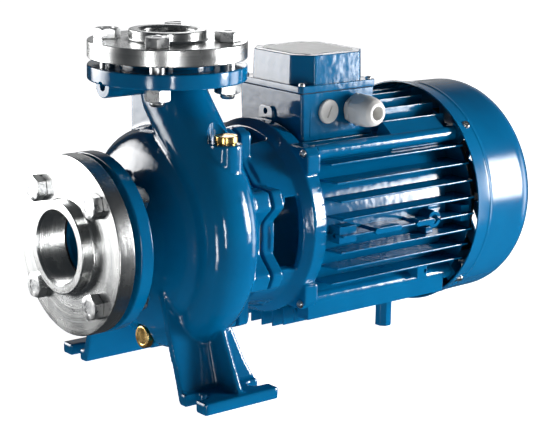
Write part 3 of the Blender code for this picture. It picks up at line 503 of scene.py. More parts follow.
def cloudy(tree, where, size, detail=2.0):
    """Soft noise whose clouds are about this size in metres."""
    made = node(tree, "ShaderNodeTexNoise", {"Vector": where, "Scale": 1 / size, "Detail": detail})
    return made.outputs["Fac"]


def between(tree, amount, low, high):
    """Stretches the middle of a noise to run from low to high."""
    made = node(tree, "ShaderNodeMapRange", {
        "Value": amount, "From Min": 0.3, "From Max": 0.7, "To Min": low, "To Max": high,
    })
    return made.outputs["Result"]


def shades(tree, amount, dark, light):
    """Runs from a dark to a light shade along a noise."""
    ramp = node(tree, "ShaderNodeValToRGB", {"Fac": amount})
    ramp.color_ramp.elements[0].position, ramp.color_ramp.elements[1].position = 0.3, 0.7
    ramp.color_ramp.elements[0].color, ramp.color_ramp.elements[1].color = (*dark, 1), (*light, 1)
    return ramp.outputs["Color"]


def bumps(tree, height, depth, strength=1.0, below=None):
    """Turns a noise into a relief of this depth in metres, on top of another relief."""
    inputs = {"Height": height, "Distance": depth, "Strength": strength}
    if below is not None:
        inputs["Normal"] = below
    return node(tree, "ShaderNodeBump", inputs).outputs["Normal"]


def join(tree, *pairs):
    for output, socket in pairs:
        tree.links.new(output, socket)


print("node helpers ready")

# %% [markdown]
# The castings, motor and box are sprayed a deep blue gloss. On the rough castings the
# film shows the sand under it as long low waves and a fine orange peel. On the sheet-metal
# cover it lies smooth. The colour itself is a dark pigment, and the shine is a clear coat.

# %% Mix the blue paint
def gloss_blue(name, wave, peel, coat_roughness):
    made, tree, shader = start_finish(
        name, Specular_IOR_Level=0.0, Coat_Weight=1.0, Coat_Roughness=coat_roughness, Coat_IOR=1.5,
    )
    here = place_on_piece(tree)
    clouds = cloudy(tree, here, 0.060, 3.0)
    long_wave = cloudy(tree, here, 0.011, 1.0)
    grain = cloudy(tree, here, 0.0016, 2.0)
    relief = bumps(tree, grain, peel, below=bumps(tree, long_wave, wave))
    join(
        tree,
        (shades(tree, clouds, (0.0003, 0.097, 0.235), (0.0006, 0.119, 0.275)), shader.inputs["Base Color"]),
        (between(tree, grain, 0.34, 0.46), shader.inputs["Roughness"]),
        (relief, shader.inputs["Normal"]),
        (relief, shader.inputs["Coat Normal"]),
    )
    return made


CAST_BLUE = gloss_blue("blue_on_castings", wave=0.00022, peel=0.00002, coat_roughness=0.09)
SHEET_BLUE = gloss_blue("blue_on_sheet", wave=0.00005, peel=0.00001, coat_roughness=0.16)
print("mixed", CAST_BLUE.name, "and", SHEET_BLUE.name)

# %% [markdown]
# A turned face carries the cutting edge's marks as rings about the axis it was turned on.
# The radius and the height about that axis are worked out by nodes and a fine noise reads
# them as its two coordinates. So the same marks run as rings over the face and along the
# rim, and light smears across them just as it does on real turned steel.

# %% Turn the stainless steel
def turned_steel(name, centre, turn):
    made, tree, shader = start_finish(name, Metallic=1.0)
    here = place_on_piece(tree, centre, turn)
    parts = node(tree, "ShaderNodeSeparateXYZ", {"Vector": here})
    flat = node(tree, "ShaderNodeCombineXYZ", {"X": parts.outputs["X"], "Y": parts.outputs["Y"]})
    radius = node(tree, "ShaderNodeVectorMath", {0: flat.outputs["Vector"]}, operation="LENGTH")
    lathe = node(tree, "ShaderNodeCombineXYZ", {"X": radius.outputs["Value"], "Y": parts.outputs["Z"]})
    marks = cloudy(tree, lathe.outputs["Vector"], 0.00035, 3.0)
    bands = cloudy(tree, lathe.outputs["Vector"], 0.0040, 2.0)
    stains = cloudy(tree, here, 0.030, 3.0)
    relief = bumps(tree, marks, 0.00006, 0.8)
    join(
        tree,
        (shades(tree, bands, (0.50, 0.51, 0.51), (0.66, 0.66, 0.65)), shader.inputs["Base Color"]),
        (between(tree, stains, 0.20, 0.30), shader.inputs["Roughness"]),
        (relief, shader.inputs["Normal"]),
    )
    return made


SUCTION_STEEL = turned_steel("turned_steel_suction", (0, 0, SHAFT_Z), (0, radians(90), 0))
DELIVERY_STEEL = turned_steel("turned_steel_delivery", (DELIVERY_X, 0, 0), (0, 0, 0))
print("turned", SUCTION_STEEL.name, "and", DELIVERY_STEEL.name)

# %% [markdown]
# The small metals differ in colour and in how rough they are. Each is a little cloudy, the
# way handled metal is, and finely scratched.

# %% Polish the small metals
SCRATCH_DEPTH = 0.00001


def metal(name, dark, light, smooth, rough):
    made, tree, shader = start_finish(name, Metallic=1.0)
    here = place_on_piece(tree)
    clouds = cloudy(tree, here, 0.009, 3.0)
    scratches = cloudy(tree, here, 0.0007, 4.0)
    join(
        tree,
        (shades(tree, clouds, dark, light), shader.inputs["Base Color"]),
        (between(tree, clouds, smooth, rough), shader.inputs["Roughness"]),
        (bumps(tree, scratches, SCRATCH_DEPTH), shader.inputs["Normal"]),
    )
    return made


BRIGHT_STEEL = metal("bright_bolt_steel", (0.52, 0.53, 0.54), (0.72, 0.72, 0.71), 0.22, 0.38)
BRASS = metal("yellow_brass", (0.74, 0.44, 0.12), (0.92, 0.64, 0.26), 0.16, 0.30)
GROUND_STEEL = metal("ground_steel", (0.30, 0.31, 0.32), (0.46, 0.46, 0.46), 0.28, 0.42)
print("polished", BRIGHT_STEEL.name, BRASS.name, GROUND_STEEL.name)

# %% [markdown]
# The rest is moulded or pressed: grey-white plastic with a fine matt grain, black plastic,
# and the dark fibre of the gaskets and the seal.

# %% Mould the plastics and press the fibre
def moulded(name, dark, light, smooth, rough, grain_size, depth):
    made, tree, shader = start_finish(name, Specular_IOR_Level=0.45)
    here = place_on_piece(tree)
    clouds = cloudy(tree, here, 0.012, 3.0)
    grain = cloudy(tree, here, grain_size, 3.0)
    join(
        tree,
        (shades(tree, clouds, dark, light), shader.inputs["Base Color"]),
        (between(tree, grain, smooth, rough), shader.inputs["Roughness"]),
        (bumps(tree, grain, depth), shader.inputs["Normal"]),
    )
    return made


WHITE_PLASTIC = moulded(
    "white_plastic", (0.72, 0.71, 0.68), (0.80, 0.79, 0.77), 0.30, 0.42, 0.0008, 0.00001
)
BLACK_PLASTIC = moulded(
    "black_plastic", (0.010, 0.010, 0.011), (0.022, 0.022, 0.023), 0.4, 0.6, 0.001, 0.00003
)
FIBRE = moulded("gasket_fibre", (0.012, 0.013, 0.014), (0.035, 0.036, 0.036), 0.7, 0.95, 0.0012, 0.0001)
FINISHES = {
    "blue_paint": CAST_BLUE, "stainless": SUCTION_STEEL, "bolt_steel": BRIGHT_STEEL, "brass": BRASS,
    "gasket_fibre": FIBRE, "white_plastic": WHITE_PLASTIC, "black_plastic": BLACK_PLASTIC,
    "shaft_steel": GROUND_STEEL,
}
for row in frame["record"]["subparts"]:
    solid = nodes[row["node"]]
    solid.data.materials.clear()
    solid.data.materials.append(FINISHES[row["material_slot"]])
print("every solid has its finish:", len(nodes))

# %% [markdown]
# The volute casing is one iron casting: a turned body, a scroll that grows round it, the two
# branches, a lobed flange at the back and two legs. The scroll is the shape that makes the
# pump. Its section is a rounded square at the tongue and a circle where the neck leaves, so
# rings of points are squared up by a power, set round the shaft, and bridged.

# %% Sweep the scroll and the delivery neck
SCROLL_START, SCROLL_END = 100, 400
SCROLL_REACH, SCROLL_GROWTH = 0.110, 0.0000854
SCROLL_HALF, SCROLL_WIDTH = 0.0205, 0.028
NECK_RADIUS = 0.034
RING_SIDES = 40
# How square the section is: 2 is a circle
SCROLL_FULLNESS, FULLNESS_LOST = 2.7, 0.6
# The neck's (y, z) centres and how far each ring leans from level
NECK_LINE = (
    ((-0.049, 0.262), 43),
    ((-0.028, 0.285), 40),
    ((-0.012, 0.304), 35),
    ((-0.003, 0.328), 15),
)


def swept(rings):
    """Bridges rings given as (centre, degrees, half height, half width, fullness)."""
    bm = bmesh.new()
    loops = []
    for (y, z), degrees, half, width, fullness in rings:
        made = bmesh.ops.create_circle(bm, cap_ends=False, segments=RING_SIDES, radius=1)["verts"]
        for vert in made:
            side, up = vert.co.x, vert.co.y
            across = width * abs(side) ** (2 / fullness) * (1 if side > 0 else -1)
            out = half * abs(up) ** (2 / fullness) * (1 if up > 0 else -1)
            turn = radians(degrees)
            vert.co = (across, y - cos(turn) * out, z + sin(turn) * out)
        loops.append([edge for edge in bm.edges if edge.verts[0] in made and edge.verts[1] in made])
    for first, second in zip(loops, loops[1:]):
        bmesh.ops.bridge_loops(bm, edges=first + second)
    for loop in (loops[0], loops[-1]):
        bmesh.ops.contextual_create(bm, geom=loop)
    bmesh.ops.recalc_face_normals(bm, faces=bm.faces)
    return bm


def scroll_rings():
    rings = []
    for degrees in range(SCROLL_START, SCROLL_END + 1, 6):
        share = (degrees - SCROLL_START) / (SCROLL_END - SCROLL_START)
        half = SCROLL_HALF + (NECK_RADIUS - SCROLL_HALF) * share
        centre = SCROLL_REACH + SCROLL_GROWTH * (degrees - SCROLL_START) - half
        width = SCROLL_WIDTH + (NECK_RADIUS - SCROLL_WIDTH) * share
        rings.append((polar(centre, degrees), degrees, half, width, SCROLL_FULLNESS - FULLNESS_LOST * share))
    return rings


def neck_rings(radius):
    return [(centre, lean, radius, radius, 2.0) for centre, lean in NECK_LINE]


scroll = swept(scroll_rings() + neck_rings(NECK_RADIUS))
print("scroll and neck:", len(scroll.faces), "faces")

# %% [markdown]
# The body and the suction branch are round, so they are turned, with the branch flaring into
# the body in a long curve. The flange at the back has eight lobes, one at each bolt.

# %% Turn the body and draw the lobed flange
BODY_PROFILE = (
    (0, 0.040), (0.098, 0.040, 0.002), (0.106, 0.026, 0.004), (0.107, -0.022, 0.006),
    (0.0985, -0.034, 0.004), (0.0900, -0.0400), (0.0790, -0.0450), (0.0660, -0.0510),
    (0.0550, -0.0590), (0.0480, -0.0690), (0.0445, -0.0830), (0.0445, -0.0900), (0, -0.0900),
)
LOBE_COUNT = 8
LOBE_RADIUS, VALLEY_RADIUS = 0.1155, 0.0920
LOBE_TIP_ANGLE, LOBE_FOOT_ANGLE = 4.5, 12.5
SEAM_X, SEAM_WIDTH = 0.055, 0.0030


def lobed_outline():
    """The star of the two bolted flanges, with rounded tips and valleys."""
    outline = []
    for i in range(LOBE_COUNT):
        for radius, turn, rounding in (
            (VALLEY_RADIUS, -LOBE_FOOT_ANGLE, 0.004),
            (LOBE_RADIUS, -LOBE_TIP_ANGLE, 0.0035),
            (LOBE_RADIUS, LOBE_TIP_ANGLE, 0.0035),
            (VALLEY_RADIUS, LOBE_FOOT_ANGLE, 0.004),
        ):
            angle = radians(360 / LOBE_COUNT * (i + 0.5) + turn)
            outline.append((radius * cos(angle), radius * sin(angle), rounding))
    return outline


body = moved(turned(BODY_PROFILE), shaftwise())
star_rear = SEAM_X - SEAM_WIDTH / 2
star = moved(drawn_out(lobed_outline(), 0.030, star_rear, edge=0.0010), shaftwise())
print("body", len(body.faces), "faces, star flange", len(star.faces))

# %% [markdown]
# Each leg is a slotted foot, a web that leans out from the casing, and a rib on the web's
# outer side. The foot's slots are open at its ends, so that the pump can be slid over bolts
# that are already in the foundation. The far leg is mirrored to make the near one.

# %% Draw the legs
FOOT_SPAN, FOOT_WIDTH, FOOT_LENGTH, FOOT_THICKNESS = 0.265, 0.0466, 0.094, 0.0125
SLOT_X, SLOT_Y, SLOT_RADIUS = 0.035, 0.106, 0.008
WEB_LEAN, WEB_THICKNESS = 0.31, 0.009
LEG_TOP = 0.118
# The web's height, front and rear, from the foot up
WEB_EDGES = (
    (0.0005, -0.0465, 0.0500),
    (0.0160, -0.0467, 0.0460),
    (0.0300, -0.0472, 0.0400),
    (0.0700, -0.0485, 0.0290),
    (LEG_TOP, -0.0485, 0.0230),
)
# The rib's outer edge as (distance from the shaft's plane, height), from the foot up
RIB_EDGE = ((0.1262, 0.006), (0.1253, 0.0135), (0.0988, 0.0650), (0.0780, LEG_TOP))
RIB_X, RIB_HALF = 0.0025, 0.0035


def foot_outline():
    """A foot from above, with a round-ended slot open at each end."""
    half, inner, outer = FOOT_LENGTH / 2, FOOT_SPAN / 2 - FOOT_WIDTH, FOOT_SPAN / 2
    near_end = [
        (half, inner, 0.003), (half, SLOT_Y - SLOT_RADIUS, 0.001),
        (SLOT_X - SLOT_RADIUS, SLOT_Y - SLOT_RADIUS, SLOT_RADIUS * 0.96),
        (SLOT_X - SLOT_RADIUS, SLOT_Y + SLOT_RADIUS, SLOT_RADIUS * 0.96),
        (half, SLOT_Y + SLOT_RADIUS, 0.001), (half, outer, 0.003),
    ]
    return near_end + [(-x, y, rounding) for x, y, rounding in reversed(near_end)]


def web():
    """A leaning plate, bridged through level rings."""
    bm = bmesh.new()
    inner = FOOT_SPAN / 2 - FOOT_WIDTH
    loops = []
    for height, front, rear in WEB_EDGES:
        near = inner - WEB_LEAN * height
        low, high = (front, near, height), (rear, near + WEB_THICKNESS, height)
        corners = [(low[0], low[1]), (high[0], low[1]), (high[0], high[1]), (low[0], high[1])]
        verts = [bm.verts.new((x, y, height)) for x, y in corners]
        loops.append([bm.edges.new(pair) for pair in zip(verts, verts[1:] + verts[:1])])
    for first, second in zip(loops, loops[1:]):
        bmesh.ops.bridge_loops(bm, edges=first + second)
    for loop in (loops[0], loops[-1]):
        bmesh.ops.contextual_create(bm, geom=loop)
    bmesh.ops.recalc_face_normals(bm, faces=bm.faces)
    return bm


def rib():
    inner = FOOT_SPAN / 2 - FOOT_WIDTH + WEB_THICKNESS / 2
    buried = [(inner - WEB_LEAN * z, z) for z in (LEG_TOP, 0.006)]
    return moved(drawn_out([*RIB_EDGE, *buried], RIB_X - RIB_HALF, RIB_X + RIB_HALF), ALONG_SHAFT)


def leg(side):
    """A whole leg. side is -1 for the near one and 1 for the far one."""
    foot = drawn_out(foot_outline(), 0, FOOT_THICKNESS)
    return moved(gathered([foot, web(), rib()]), Matrix.Diagonal((1, side, 1, 1)))


legs = [leg(-1), leg(1)]
print("legs:", [len(shape.faces) for shape in legs], "faces")

# %% [markdown]
# All of that is one casting, so it gets one skin. The machined faces are different: the pipe
# flanges are turned after casting and stay crisp. They are welded on after the skin has been
# relaxed, and then everything that is drilled or bored is cut.

# %% Cast, weld and machine the casing
SUCTION_FACE_X, DELIVERY_FACE_Z = -0.100, SHAFT_Z + 0.180
SUCTION_FLANGE = ((0, 0), (0.059, 0, 0.0005), (0.059, -0.003), (0.0925, -0.003, 0.0016),
                  (0.0925, -0.018, 0.0016), (0.044, -0.018), (0.040, -0.030), (0, -0.030))
DELIVERY_FLANGE = ((0, 0), (0.0495, 0, 0.0005), (0.0495, -0.0045), (0.0825, -0.0045, 0.0016),
                   (0.0825, -0.0202, 0.0020), (0.034, -0.0202), (0.030, -0.030), (0, -0.030))
SUCTION_CIRCLE, DELIVERY_CIRCLE = 0.0725, 0.0625
BOLT_HOLE = 0.009
SUCTION_BORE, DELIVERY_BORE = 0.0325, 0.025
EYE_RADIUS, EYE_X = 0.042, -0.010
FILL_PLACE = (0.005, -0.093, 0.266)
DRAIN_PLACE = (-0.0245, 0, 0.0475)
TAP_Z = 0.3185
SUCTION_PLACE = facing_suction(SUCTION_FACE_X, 0, SHAFT_Z)
DELIVERY_PLACE = at(0, 0, DELIVERY_FACE_Z)


def diagonals(circle):
    reach = circle * cos(radians(45))
    return [(a * reach, b * reach) for a, b in ((1, 1), (-1, 1), (-1, -1), (1, -1))]


def bolt_holes(circle, place, low, high):
    return [moved(rod(BOLT_HOLE, low, high, 32), place @ at(a, b, 0)) for a, b in diagonals(circle)]


def volute_casing():
    fill_boss = moved(rod(0.0172, -0.060, 0, 48), at(*FILL_PLACE))
    drain_boss = moved(rod(0.0135, -0.040, 0, 40), facing_suction(*DRAIN_PLACE))
    tap_boss = moved(rod(0.0122, 0.020, 0.0800, 40), facing_suction(0, 0, TAP_Z))
    gusset = block((-0.004, 0.005, 0.245), (0.004, 0.060, 0.322))
    suction_rib = block((-0.084, -0.004, 0.195), (-0.036, 0.004, 0.2270))
    vent_boss = moved(rod(0.0065, 0, 0.068, 24), at(-0.055, 0, SHAFT_Z))
    rough = [body, scroll, star, fill_boss, drain_boss, gusset, suction_rib, vent_boss, *legs]
    skin = cast(rough, grain=0.0017, relax=5, keep=0.45)
    crisp = [
        moved(turned(SUCTION_FLANGE), SUCTION_PLACE),
        moved(turned(DELIVERY_FLANGE), DELIVERY_PLACE),
        round_edges(tap_boss, 0.001),
    ]
    bored_neck = [(centre, lean, DELIVERY_BORE, DELIVERY_BORE, 2.0) for centre, lean in NECK_LINE[1:]]
    bored_neck.append(((0, 0.345), 0, DELIVERY_BORE, DELIVERY_BORE, 2.0))
    cuts = [
        moved(rod(SUCTION_BORE, -0.002, 0.072, 96), facing_suction(-0.030, 0, SHAFT_Z)),
        moved(rod(EYE_RADIUS, EYE_X - 0.026, EYE_X, 96), shaftwise()),
        moved(rod(0.0123, -0.020, 0.060, 48), shaftwise()),
        swept(bored_neck),
        moved(rod(0.0050, 0.060, 0.083, 32), facing_suction(0, 0, TAP_Z)),
        moved(rod(0.0088, -0.0080, 0.002, 32), at(*FILL_PLACE)),
        moved(rod(0.0190, 0, 0.030, 48), at(*FILL_PLACE)),
        moved(rod(0.0088, -0.0080, 0.002, 32), facing_suction(*DRAIN_PLACE)),
        moved(rod(0.0148, 0, 0.030, 48), facing_suction(*DRAIN_PLACE)),
        *bolt_holes(SUCTION_CIRCLE, SUCTION_PLACE, -0.025, 0.005),
        *bolt_holes(DELIVERY_CIRCLE, DELIVERY_PLACE, -0.025, 0.005),
    ]
    return carved(welded(skin, crisp), cuts)


finish(
    "pump_casing", volute_casing(), "blue_paint",
    "volute_casing", "suction_branch", "delivery_branch", "near_foot", "far_foot",
)

# %% [markdown]
# The counter-flanges are turned from stainless bar. Their faces keep the shallow rings that
# the cutting edge leaves, and the pipe thread in the hub is a zigzag in the turned profile:
# at this size rings can't be told from a helix, and they close without a seam.

# %% Turn the counter-flanges
GASKET_SPACE = 0.002
SEAT_GAP = 0.0003
PIPE_PITCH = 0.0023
LATHE_STEP, LATHE_DEPTH = 0.0026, 0.00007


def thread(radius, low, high, pitch, depth):
    """A zigzag from low to high, between the radius and the radius plus the depth."""
    points = []
    height = low
    while height < high - pitch:
        points += [(radius, height), (radius + depth, height + pitch / 2)]
        height += pitch
    return [*points, (radius, height)]


def lathe_rings(height, inner, outer):
    """Shallow rings on a turned face, from the inside out."""
    points = []
    radius = inner
    while radius < outer - LATHE_STEP:
        points += [(radius, height), (radius + LATHE_STEP / 2, height - LATHE_DEPTH)]
        radius += LATHE_STEP
    return points


def counter_flange(name, place, radius, circle, face, rim, front, hub, top, bore, look):
    """Heights are measured from the casing's raised face towards the pipe."""
    outside = [
        (bore + 0.0022, top), (hub, top, 0.0014), (hub, front, 0.0032),
        *lathe_rings(front, hub + 0.006, radius - 0.003),
        (radius, front, 0.0013), (radius, rim, 0.0013), (face, rim), (face, GASKET_SPACE, 0.0005),
    ]
    inside = thread(bore, GASKET_SPACE + 0.0015, top - 0.0015, PIPE_PITCH, 0.0012)
    profile = outside + [(bore + 0.0015, GASKET_SPACE)] + inside
    shape = moved(turned(profile, 128, closed=True), place)
    shape = carved(shape, bolt_holes(circle, place, -0.010, 0.040))
    return finish(name, shape, "stainless", name, look=look)


SUCTION_RIM_FRONT, DELIVERY_RIM_FRONT = 0.0222, 0.0202
counter_flange(
    "suction_counter_flange", SUCTION_PLACE, radius=0.0925, circle=SUCTION_CIRCLE, face=0.059,
    rim=0.0040, front=SUCTION_RIM_FRONT, hub=0.048, top=0.0360, bore=0.0370,
    look=SUCTION_STEEL,
)
counter_flange(
    "delivery_counter_flange", DELIVERY_PLACE, radius=0.0825, circle=DELIVERY_CIRCLE,
    face=0.0495, rim=0.0025, front=DELIVERY_RIM_FRONT, hub=0.040, top=0.0312, bore=0.0290,
    look=DELIVERY_STEEL,
)

# %% [markdown]
# A gasket seals each pair of flanges. It is a flat fibre ring, a little narrower than the
# raised face, and turning it from a small closed outline gives it its softened rim.

# %% Cut the gaskets
for name, place, outer, inner in (
    ("suction_gasket", SUCTION_PLACE, 0.0580, 0.0380),
    ("delivery_gasket", DELIVERY_PLACE, 0.0485, 0.0300),
):
    low, high = SEAT_GAP, GASKET_SPACE - SEAT_GAP
    ring = [(outer, high, 0.0002), (outer, low, 0.0002), (inner, low), (inner, high)]
    finish(name, moved(turned(ring, 96, closed=True), place), "gasket_fibre", name)

# %% [markdown]
# A forged hexagon has its corners turned off at 30 degrees. That is the meeting of a
# six-sided prism with a blunt cone, so a Boolean intersection makes it, and the nut's two
# ends get it both. The bolts' ends stand out of the nuts with their thread.

# %% Forge the bolts and nuts
BOLT_RADIUS, BOLT_PITCH, BOLT_THREAD_DEPTH = 0.0080, 0.0020, 0.0009
HEX_RADIUS = 0.0139
HEAD_HEIGHT, NUT_HEIGHT = 0.010, 0.013
HEX_CHAMFER = tan(radians(30))


def hexagon(radius, low, high, degrees, both_ends):
    """A hexagon prism whose corners are turned off at its top, or at both ends."""
    prism = moved(rod(radius, low, high, 6, edge=0.0003), Matrix.Rotation(radians(degrees), 4, "Z"))
    flat = radius * cos(radians(30)) * 0.97
    drop = (radius * 1.05 - flat) * HEX_CHAMFER
    foot = low + drop if both_ends else low - 0.001
    blank = [(0, high), (flat, high), (radius * 1.05, high - drop), (radius * 1.05, foot)]
    blank += [(flat, low), (0, low)] if both_ends else [(0, low - 0.001)]
    return boolean(prism, [turned(blank, 72)], "INTERSECT")


def bolt(low, high_seat):
    """A bolt whose head sits on high_seat and whose threaded end comes out at low."""
    head = hexagon(HEX_RADIUS, high_seat, high_seat + HEAD_HEIGHT, 15, both_ends=False)
    dish = turned([(0, 0.002), (0.0078, 0.002), (0.0070, -0.0005), (0, -0.0005)], 48)
    head = carved(head, [moved(dish, at(0, 0, high_seat + HEAD_HEIGHT))])
    core = BOLT_RADIUS - BOLT_THREAD_DEPTH
    turns = thread(core, low + 0.0012, low + 0.022, BOLT_PITCH, BOLT_THREAD_DEPTH)
    end = [(0, low), (core - 0.0008, low), *turns]
    shank = end + [(BOLT_RADIUS, end[-1][1] + 0.0005), (BOLT_RADIUS, high_seat + 0.001)]
    return gathered([head, turned(shank[::-1], 40)])


def fasten(branch, place, circle, rim_front, cast_back):
    """Four bolts with heads on the counter-flange, and nuts behind the cast flange."""
    seat = rim_front + SEAT_GAP
    nut_high = -cast_back - SEAT_GAP
    nut_low = nut_high - NUT_HEIGHT
    for i, (a, b) in enumerate(diagonals(circle), 1):
        spot = place @ at(a, b, 0) @ Matrix.Rotation(radians(23 * i), 4, "Z")
        name = f"{branch}_bolt_{i}"
        finish(name, moved(bolt(nut_low - 0.0055, seat), spot), "bolt_steel", name)
        nut = hexagon(HEX_RADIUS, nut_low, nut_high, 25, both_ends=True)
        nut = carved(nut, [rod(BOLT_RADIUS + SEAT_GAP, nut_low - 0.01, nut_high + 0.01, 40)])
        name = f"{branch}_nut_{i}"
        finish(name, moved(nut, spot), "bolt_steel", name, smooth_to=24)


fasten("suction", SUCTION_PLACE, SUCTION_CIRCLE, SUCTION_RIM_FRONT, 0.0180)
fasten("delivery", DELIVERY_PLACE, DELIVERY_CIRCLE, DELIVERY_RIM_FRONT, 0.0202)

# %% [markdown]
# Two brass plugs close the filling hole and the drain hole. Each is turned in one profile: a
# head with a raised rim, a narrow collar, and a stub that goes down into its boss.

# %% Turn the brass plugs
PLUG_RADIUS, PLUG_STUB, PLUG_HEAD, PLUG_DEPTH = 0.0120, 0.0085, 0.0082, 0.006
for name, place in (
    ("filling_plug", at(*FILL_PLACE)),
    ("drain_plug", facing_suction(*DRAIN_PLACE)),
):
    profile = [
        (0, PLUG_HEAD - 0.0004), (0.0078, PLUG_HEAD - 0.0004), (0.0084, PLUG_HEAD),
        (PLUG_RADIUS, PLUG_HEAD, 0.0011), (PLUG_RADIUS, 0.0016, 0.0005), (0.0108, 0.0008),
        (0.0108, SEAT_GAP), (PLUG_STUB, SEAT_GAP), (PLUG_STUB, -PLUG_DEPTH), (0, -PLUG_DEPTH),
    ]
    finish(name, moved(turned(profile, 64), place), "brass", name)

# %% [markdown]
# The lantern is the second casting. Its star flange is bolted to the casing's, four arms
# reach back to the ring, and the ring carries the motor. Through its windows the shaft shows.
# It is cast as a full bell with a finer skin, and the windows are cut before the skin goes on,
# so that their edges are rounded too.

# %% Cast the lantern
STAR_FRONT, STAR_REAR = SEAM_X + SEAM_WIDTH / 2, SEAM_X + SEAM_WIDTH / 2 + 0.013
RING_FRONT_X, RING_EDGE_X, RING_REAR_X = 0.103, 0.114, 0.132
RING_RADIUS, RING_REAR_RADIUS = 0.1070, 0.1050
WINDOWS = ((0, 24), (180, 24), (90, 22), (270, 20))
EAR_TOP, EAR_SIDE, EAR_CORNER = 0.0878, 0.0922, 0.0075
EAR_INNER, EAR_LOW = 0.058, 0.060
EAR_SCREW_Y, EAR_SCREW_Z = 0.0845, 0.0815


def window(middle, half_angle, low, high):
    """A wedge about the shaft that reaches past the lantern's wall."""
    edge = [middle + half_angle * (i / 4 - 1) for i in range(9)]
    outline = [polar(0.130, degrees) for degrees in edge]
    outline += [polar(0.050, degrees) for degrees in reversed(edge)]
    return moved(drawn_out([(y, z - SHAFT_Z) for y, z in outline], low, high), shaftwise())


def ears(low, high):
    """Four square blocks with a cut corner, where the motor's long screws go in."""
    made = []
    for up in (-1, 1):
        for side in (-1, 1):
            outline = [
                (EAR_INNER, EAR_LOW), (EAR_SIDE, EAR_LOW), (EAR_SIDE, EAR_TOP - EAR_CORNER, 0.001),
                (EAR_SIDE - EAR_CORNER, EAR_TOP, 0.001), (EAR_INNER, EAR_TOP),
            ]
            turned_over = Matrix.Diagonal((side, up, 1, 1))
            made.append(moved(drawn_out(outline, low, high), shaftwise() @ turned_over))
    return made


def lantern_bracket():
    star = moved(drawn_out(lobed_outline(), STAR_FRONT, STAR_REAR), shaftwise())
    wall = [(0, 0.125), (0.0985, 0.125), (0.0975, 0.100), (0.0930, STAR_FRONT + 0.008),
            (0, STAR_FRONT + 0.008)]
    ring = [(0, RING_REAR_X), (RING_REAR_RADIUS, RING_REAR_X), (RING_RADIUS, RING_EDGE_X),
            (0.0985, RING_FRONT_X), (0, RING_FRONT_X)]
    inside = [
        (0, RING_REAR_X + 0.010), (0.0940, RING_REAR_X + 0.010), (0.0915, RING_FRONT_X + 0.004),
        (0.0860, STAR_REAR + 0.001), (0.0550, STAR_REAR + 0.001), (0.0550, STAR_FRONT - 0.010),
        (0, STAR_FRONT - 0.010),
    ]
    bell = welded(moved(turned(wall), shaftwise()), [moved(turned(ring), shaftwise())])
    openings = [window(m, h, STAR_REAR, RING_FRONT_X + 0.001) for m, h in WINDOWS]
    bell = carved(welded(bell, [star]), [moved(turned(inside), shaftwise()), *openings])
    solid = [bell, *ears(RING_EDGE_X, RING_REAR_X)]
    return cast(solid, grain=0.0013, relax=3, keep=0.5)


finish("lantern_bracket", lantern_bracket(), "blue_paint", "lantern_bracket")

# %% [markdown]
# Hexagon screws hold the lantern to the casing, one behind each lobe, and four long screws
# hold the motor together through the ears. The lobe screws were painted with the pump.

# %% Set the lantern's screws
LOBE_SCREW_CIRCLE, LOBE_SCREW_HEX, LOBE_SCREW_HEAD = 0.1045, 0.0072, 0.0055


def lobe_screws():
    heads = []
    for i in range(LOBE_COUNT):
        y, z = polar(LOBE_SCREW_CIRCLE, 360 / LOBE_COUNT * (i + 0.5))
        head = hexagon(LOBE_SCREW_HEX, 0, LOBE_SCREW_HEAD, 11 * i, both_ends=False)
        heads.append(moved(head, shaftwise(STAR_REAR - 0.0002, y, z)))
    return gathered(heads)


def cross_head(radius, height):
    """A round screw head with a cross cut in it."""
    head = turned([(0, height), (radius * 0.75, height * 0.92, 0.0003),
                   (radius, height * 0.35, 0.0004), (radius, 0), (0, 0)], 32)
    bars = [
        block((-radius * 0.62, -radius * 0.12, height * 0.45), (radius * 0.62, radius * 0.12, 2 * height)),
        block((-radius * 0.12, -radius * 0.62, height * 0.45), (radius * 0.12, radius * 0.62, 2 * height)),
    ]
    return carved(head, bars)


def ear_screws():
    heads = []
    for up in (-1, 1):
        for side in (-1, 1):
            place = facing_suction(RING_EDGE_X + 0.0004, side * EAR_SCREW_Y, SHAFT_Z + up * EAR_SCREW_Z)
            heads.append(moved(cross_head(0.0044, 0.0032), place))
    return gathered(heads)


finish("lantern_lobe_screws", lobe_screws(), "blue_paint")
finish("motor_long_screws", ear_screws(), "bolt_steel")

# %% [markdown]
# The motor's body is an extruded aluminium frame: a barrel with thin cooling fins all round,
# a thick round rib at each corner for the long screws, and square skids below. Every fin is
# an outline drawn out to its thickness and pinched a little towards its tip, as the
# extrusion die makes it, and the fins' fronts are milled at a slant.

# %% Draw the fins
MOTOR_FRONT_X, MOTOR_REAR_X = 0.1323, 0.338
BARREL_RADIUS, BARREL_REAR_X, TAIL_RADIUS = 0.097, 0.314, 0.088
FIN_RADIUS, LOW_FIN_RADIUS, FIN_ROOT = 0.120, 0.125, 0.060
FIN_THICKNESS, FIN_PITCH, FIN_OFFSET = 0.0028, 0.0184, -0.0052
FIN_FRONT_X, FIN_SLANT = 0.1415, 0.007
LOW_FIN_FRONT_X, TOP_FIN_FRONT_X = 0.1225, 0.246
FIN_REAR_X = MOTOR_REAR_X - 0.001
FIN_PINCH = 0.72


def fin_reach(radius, offset):
    """How far a fin at this offset from the shaft reaches, so that its corner is on the radius."""
    return sqrt(radius**2 - (abs(offset) + FIN_THICKNESS / 2) ** 2)


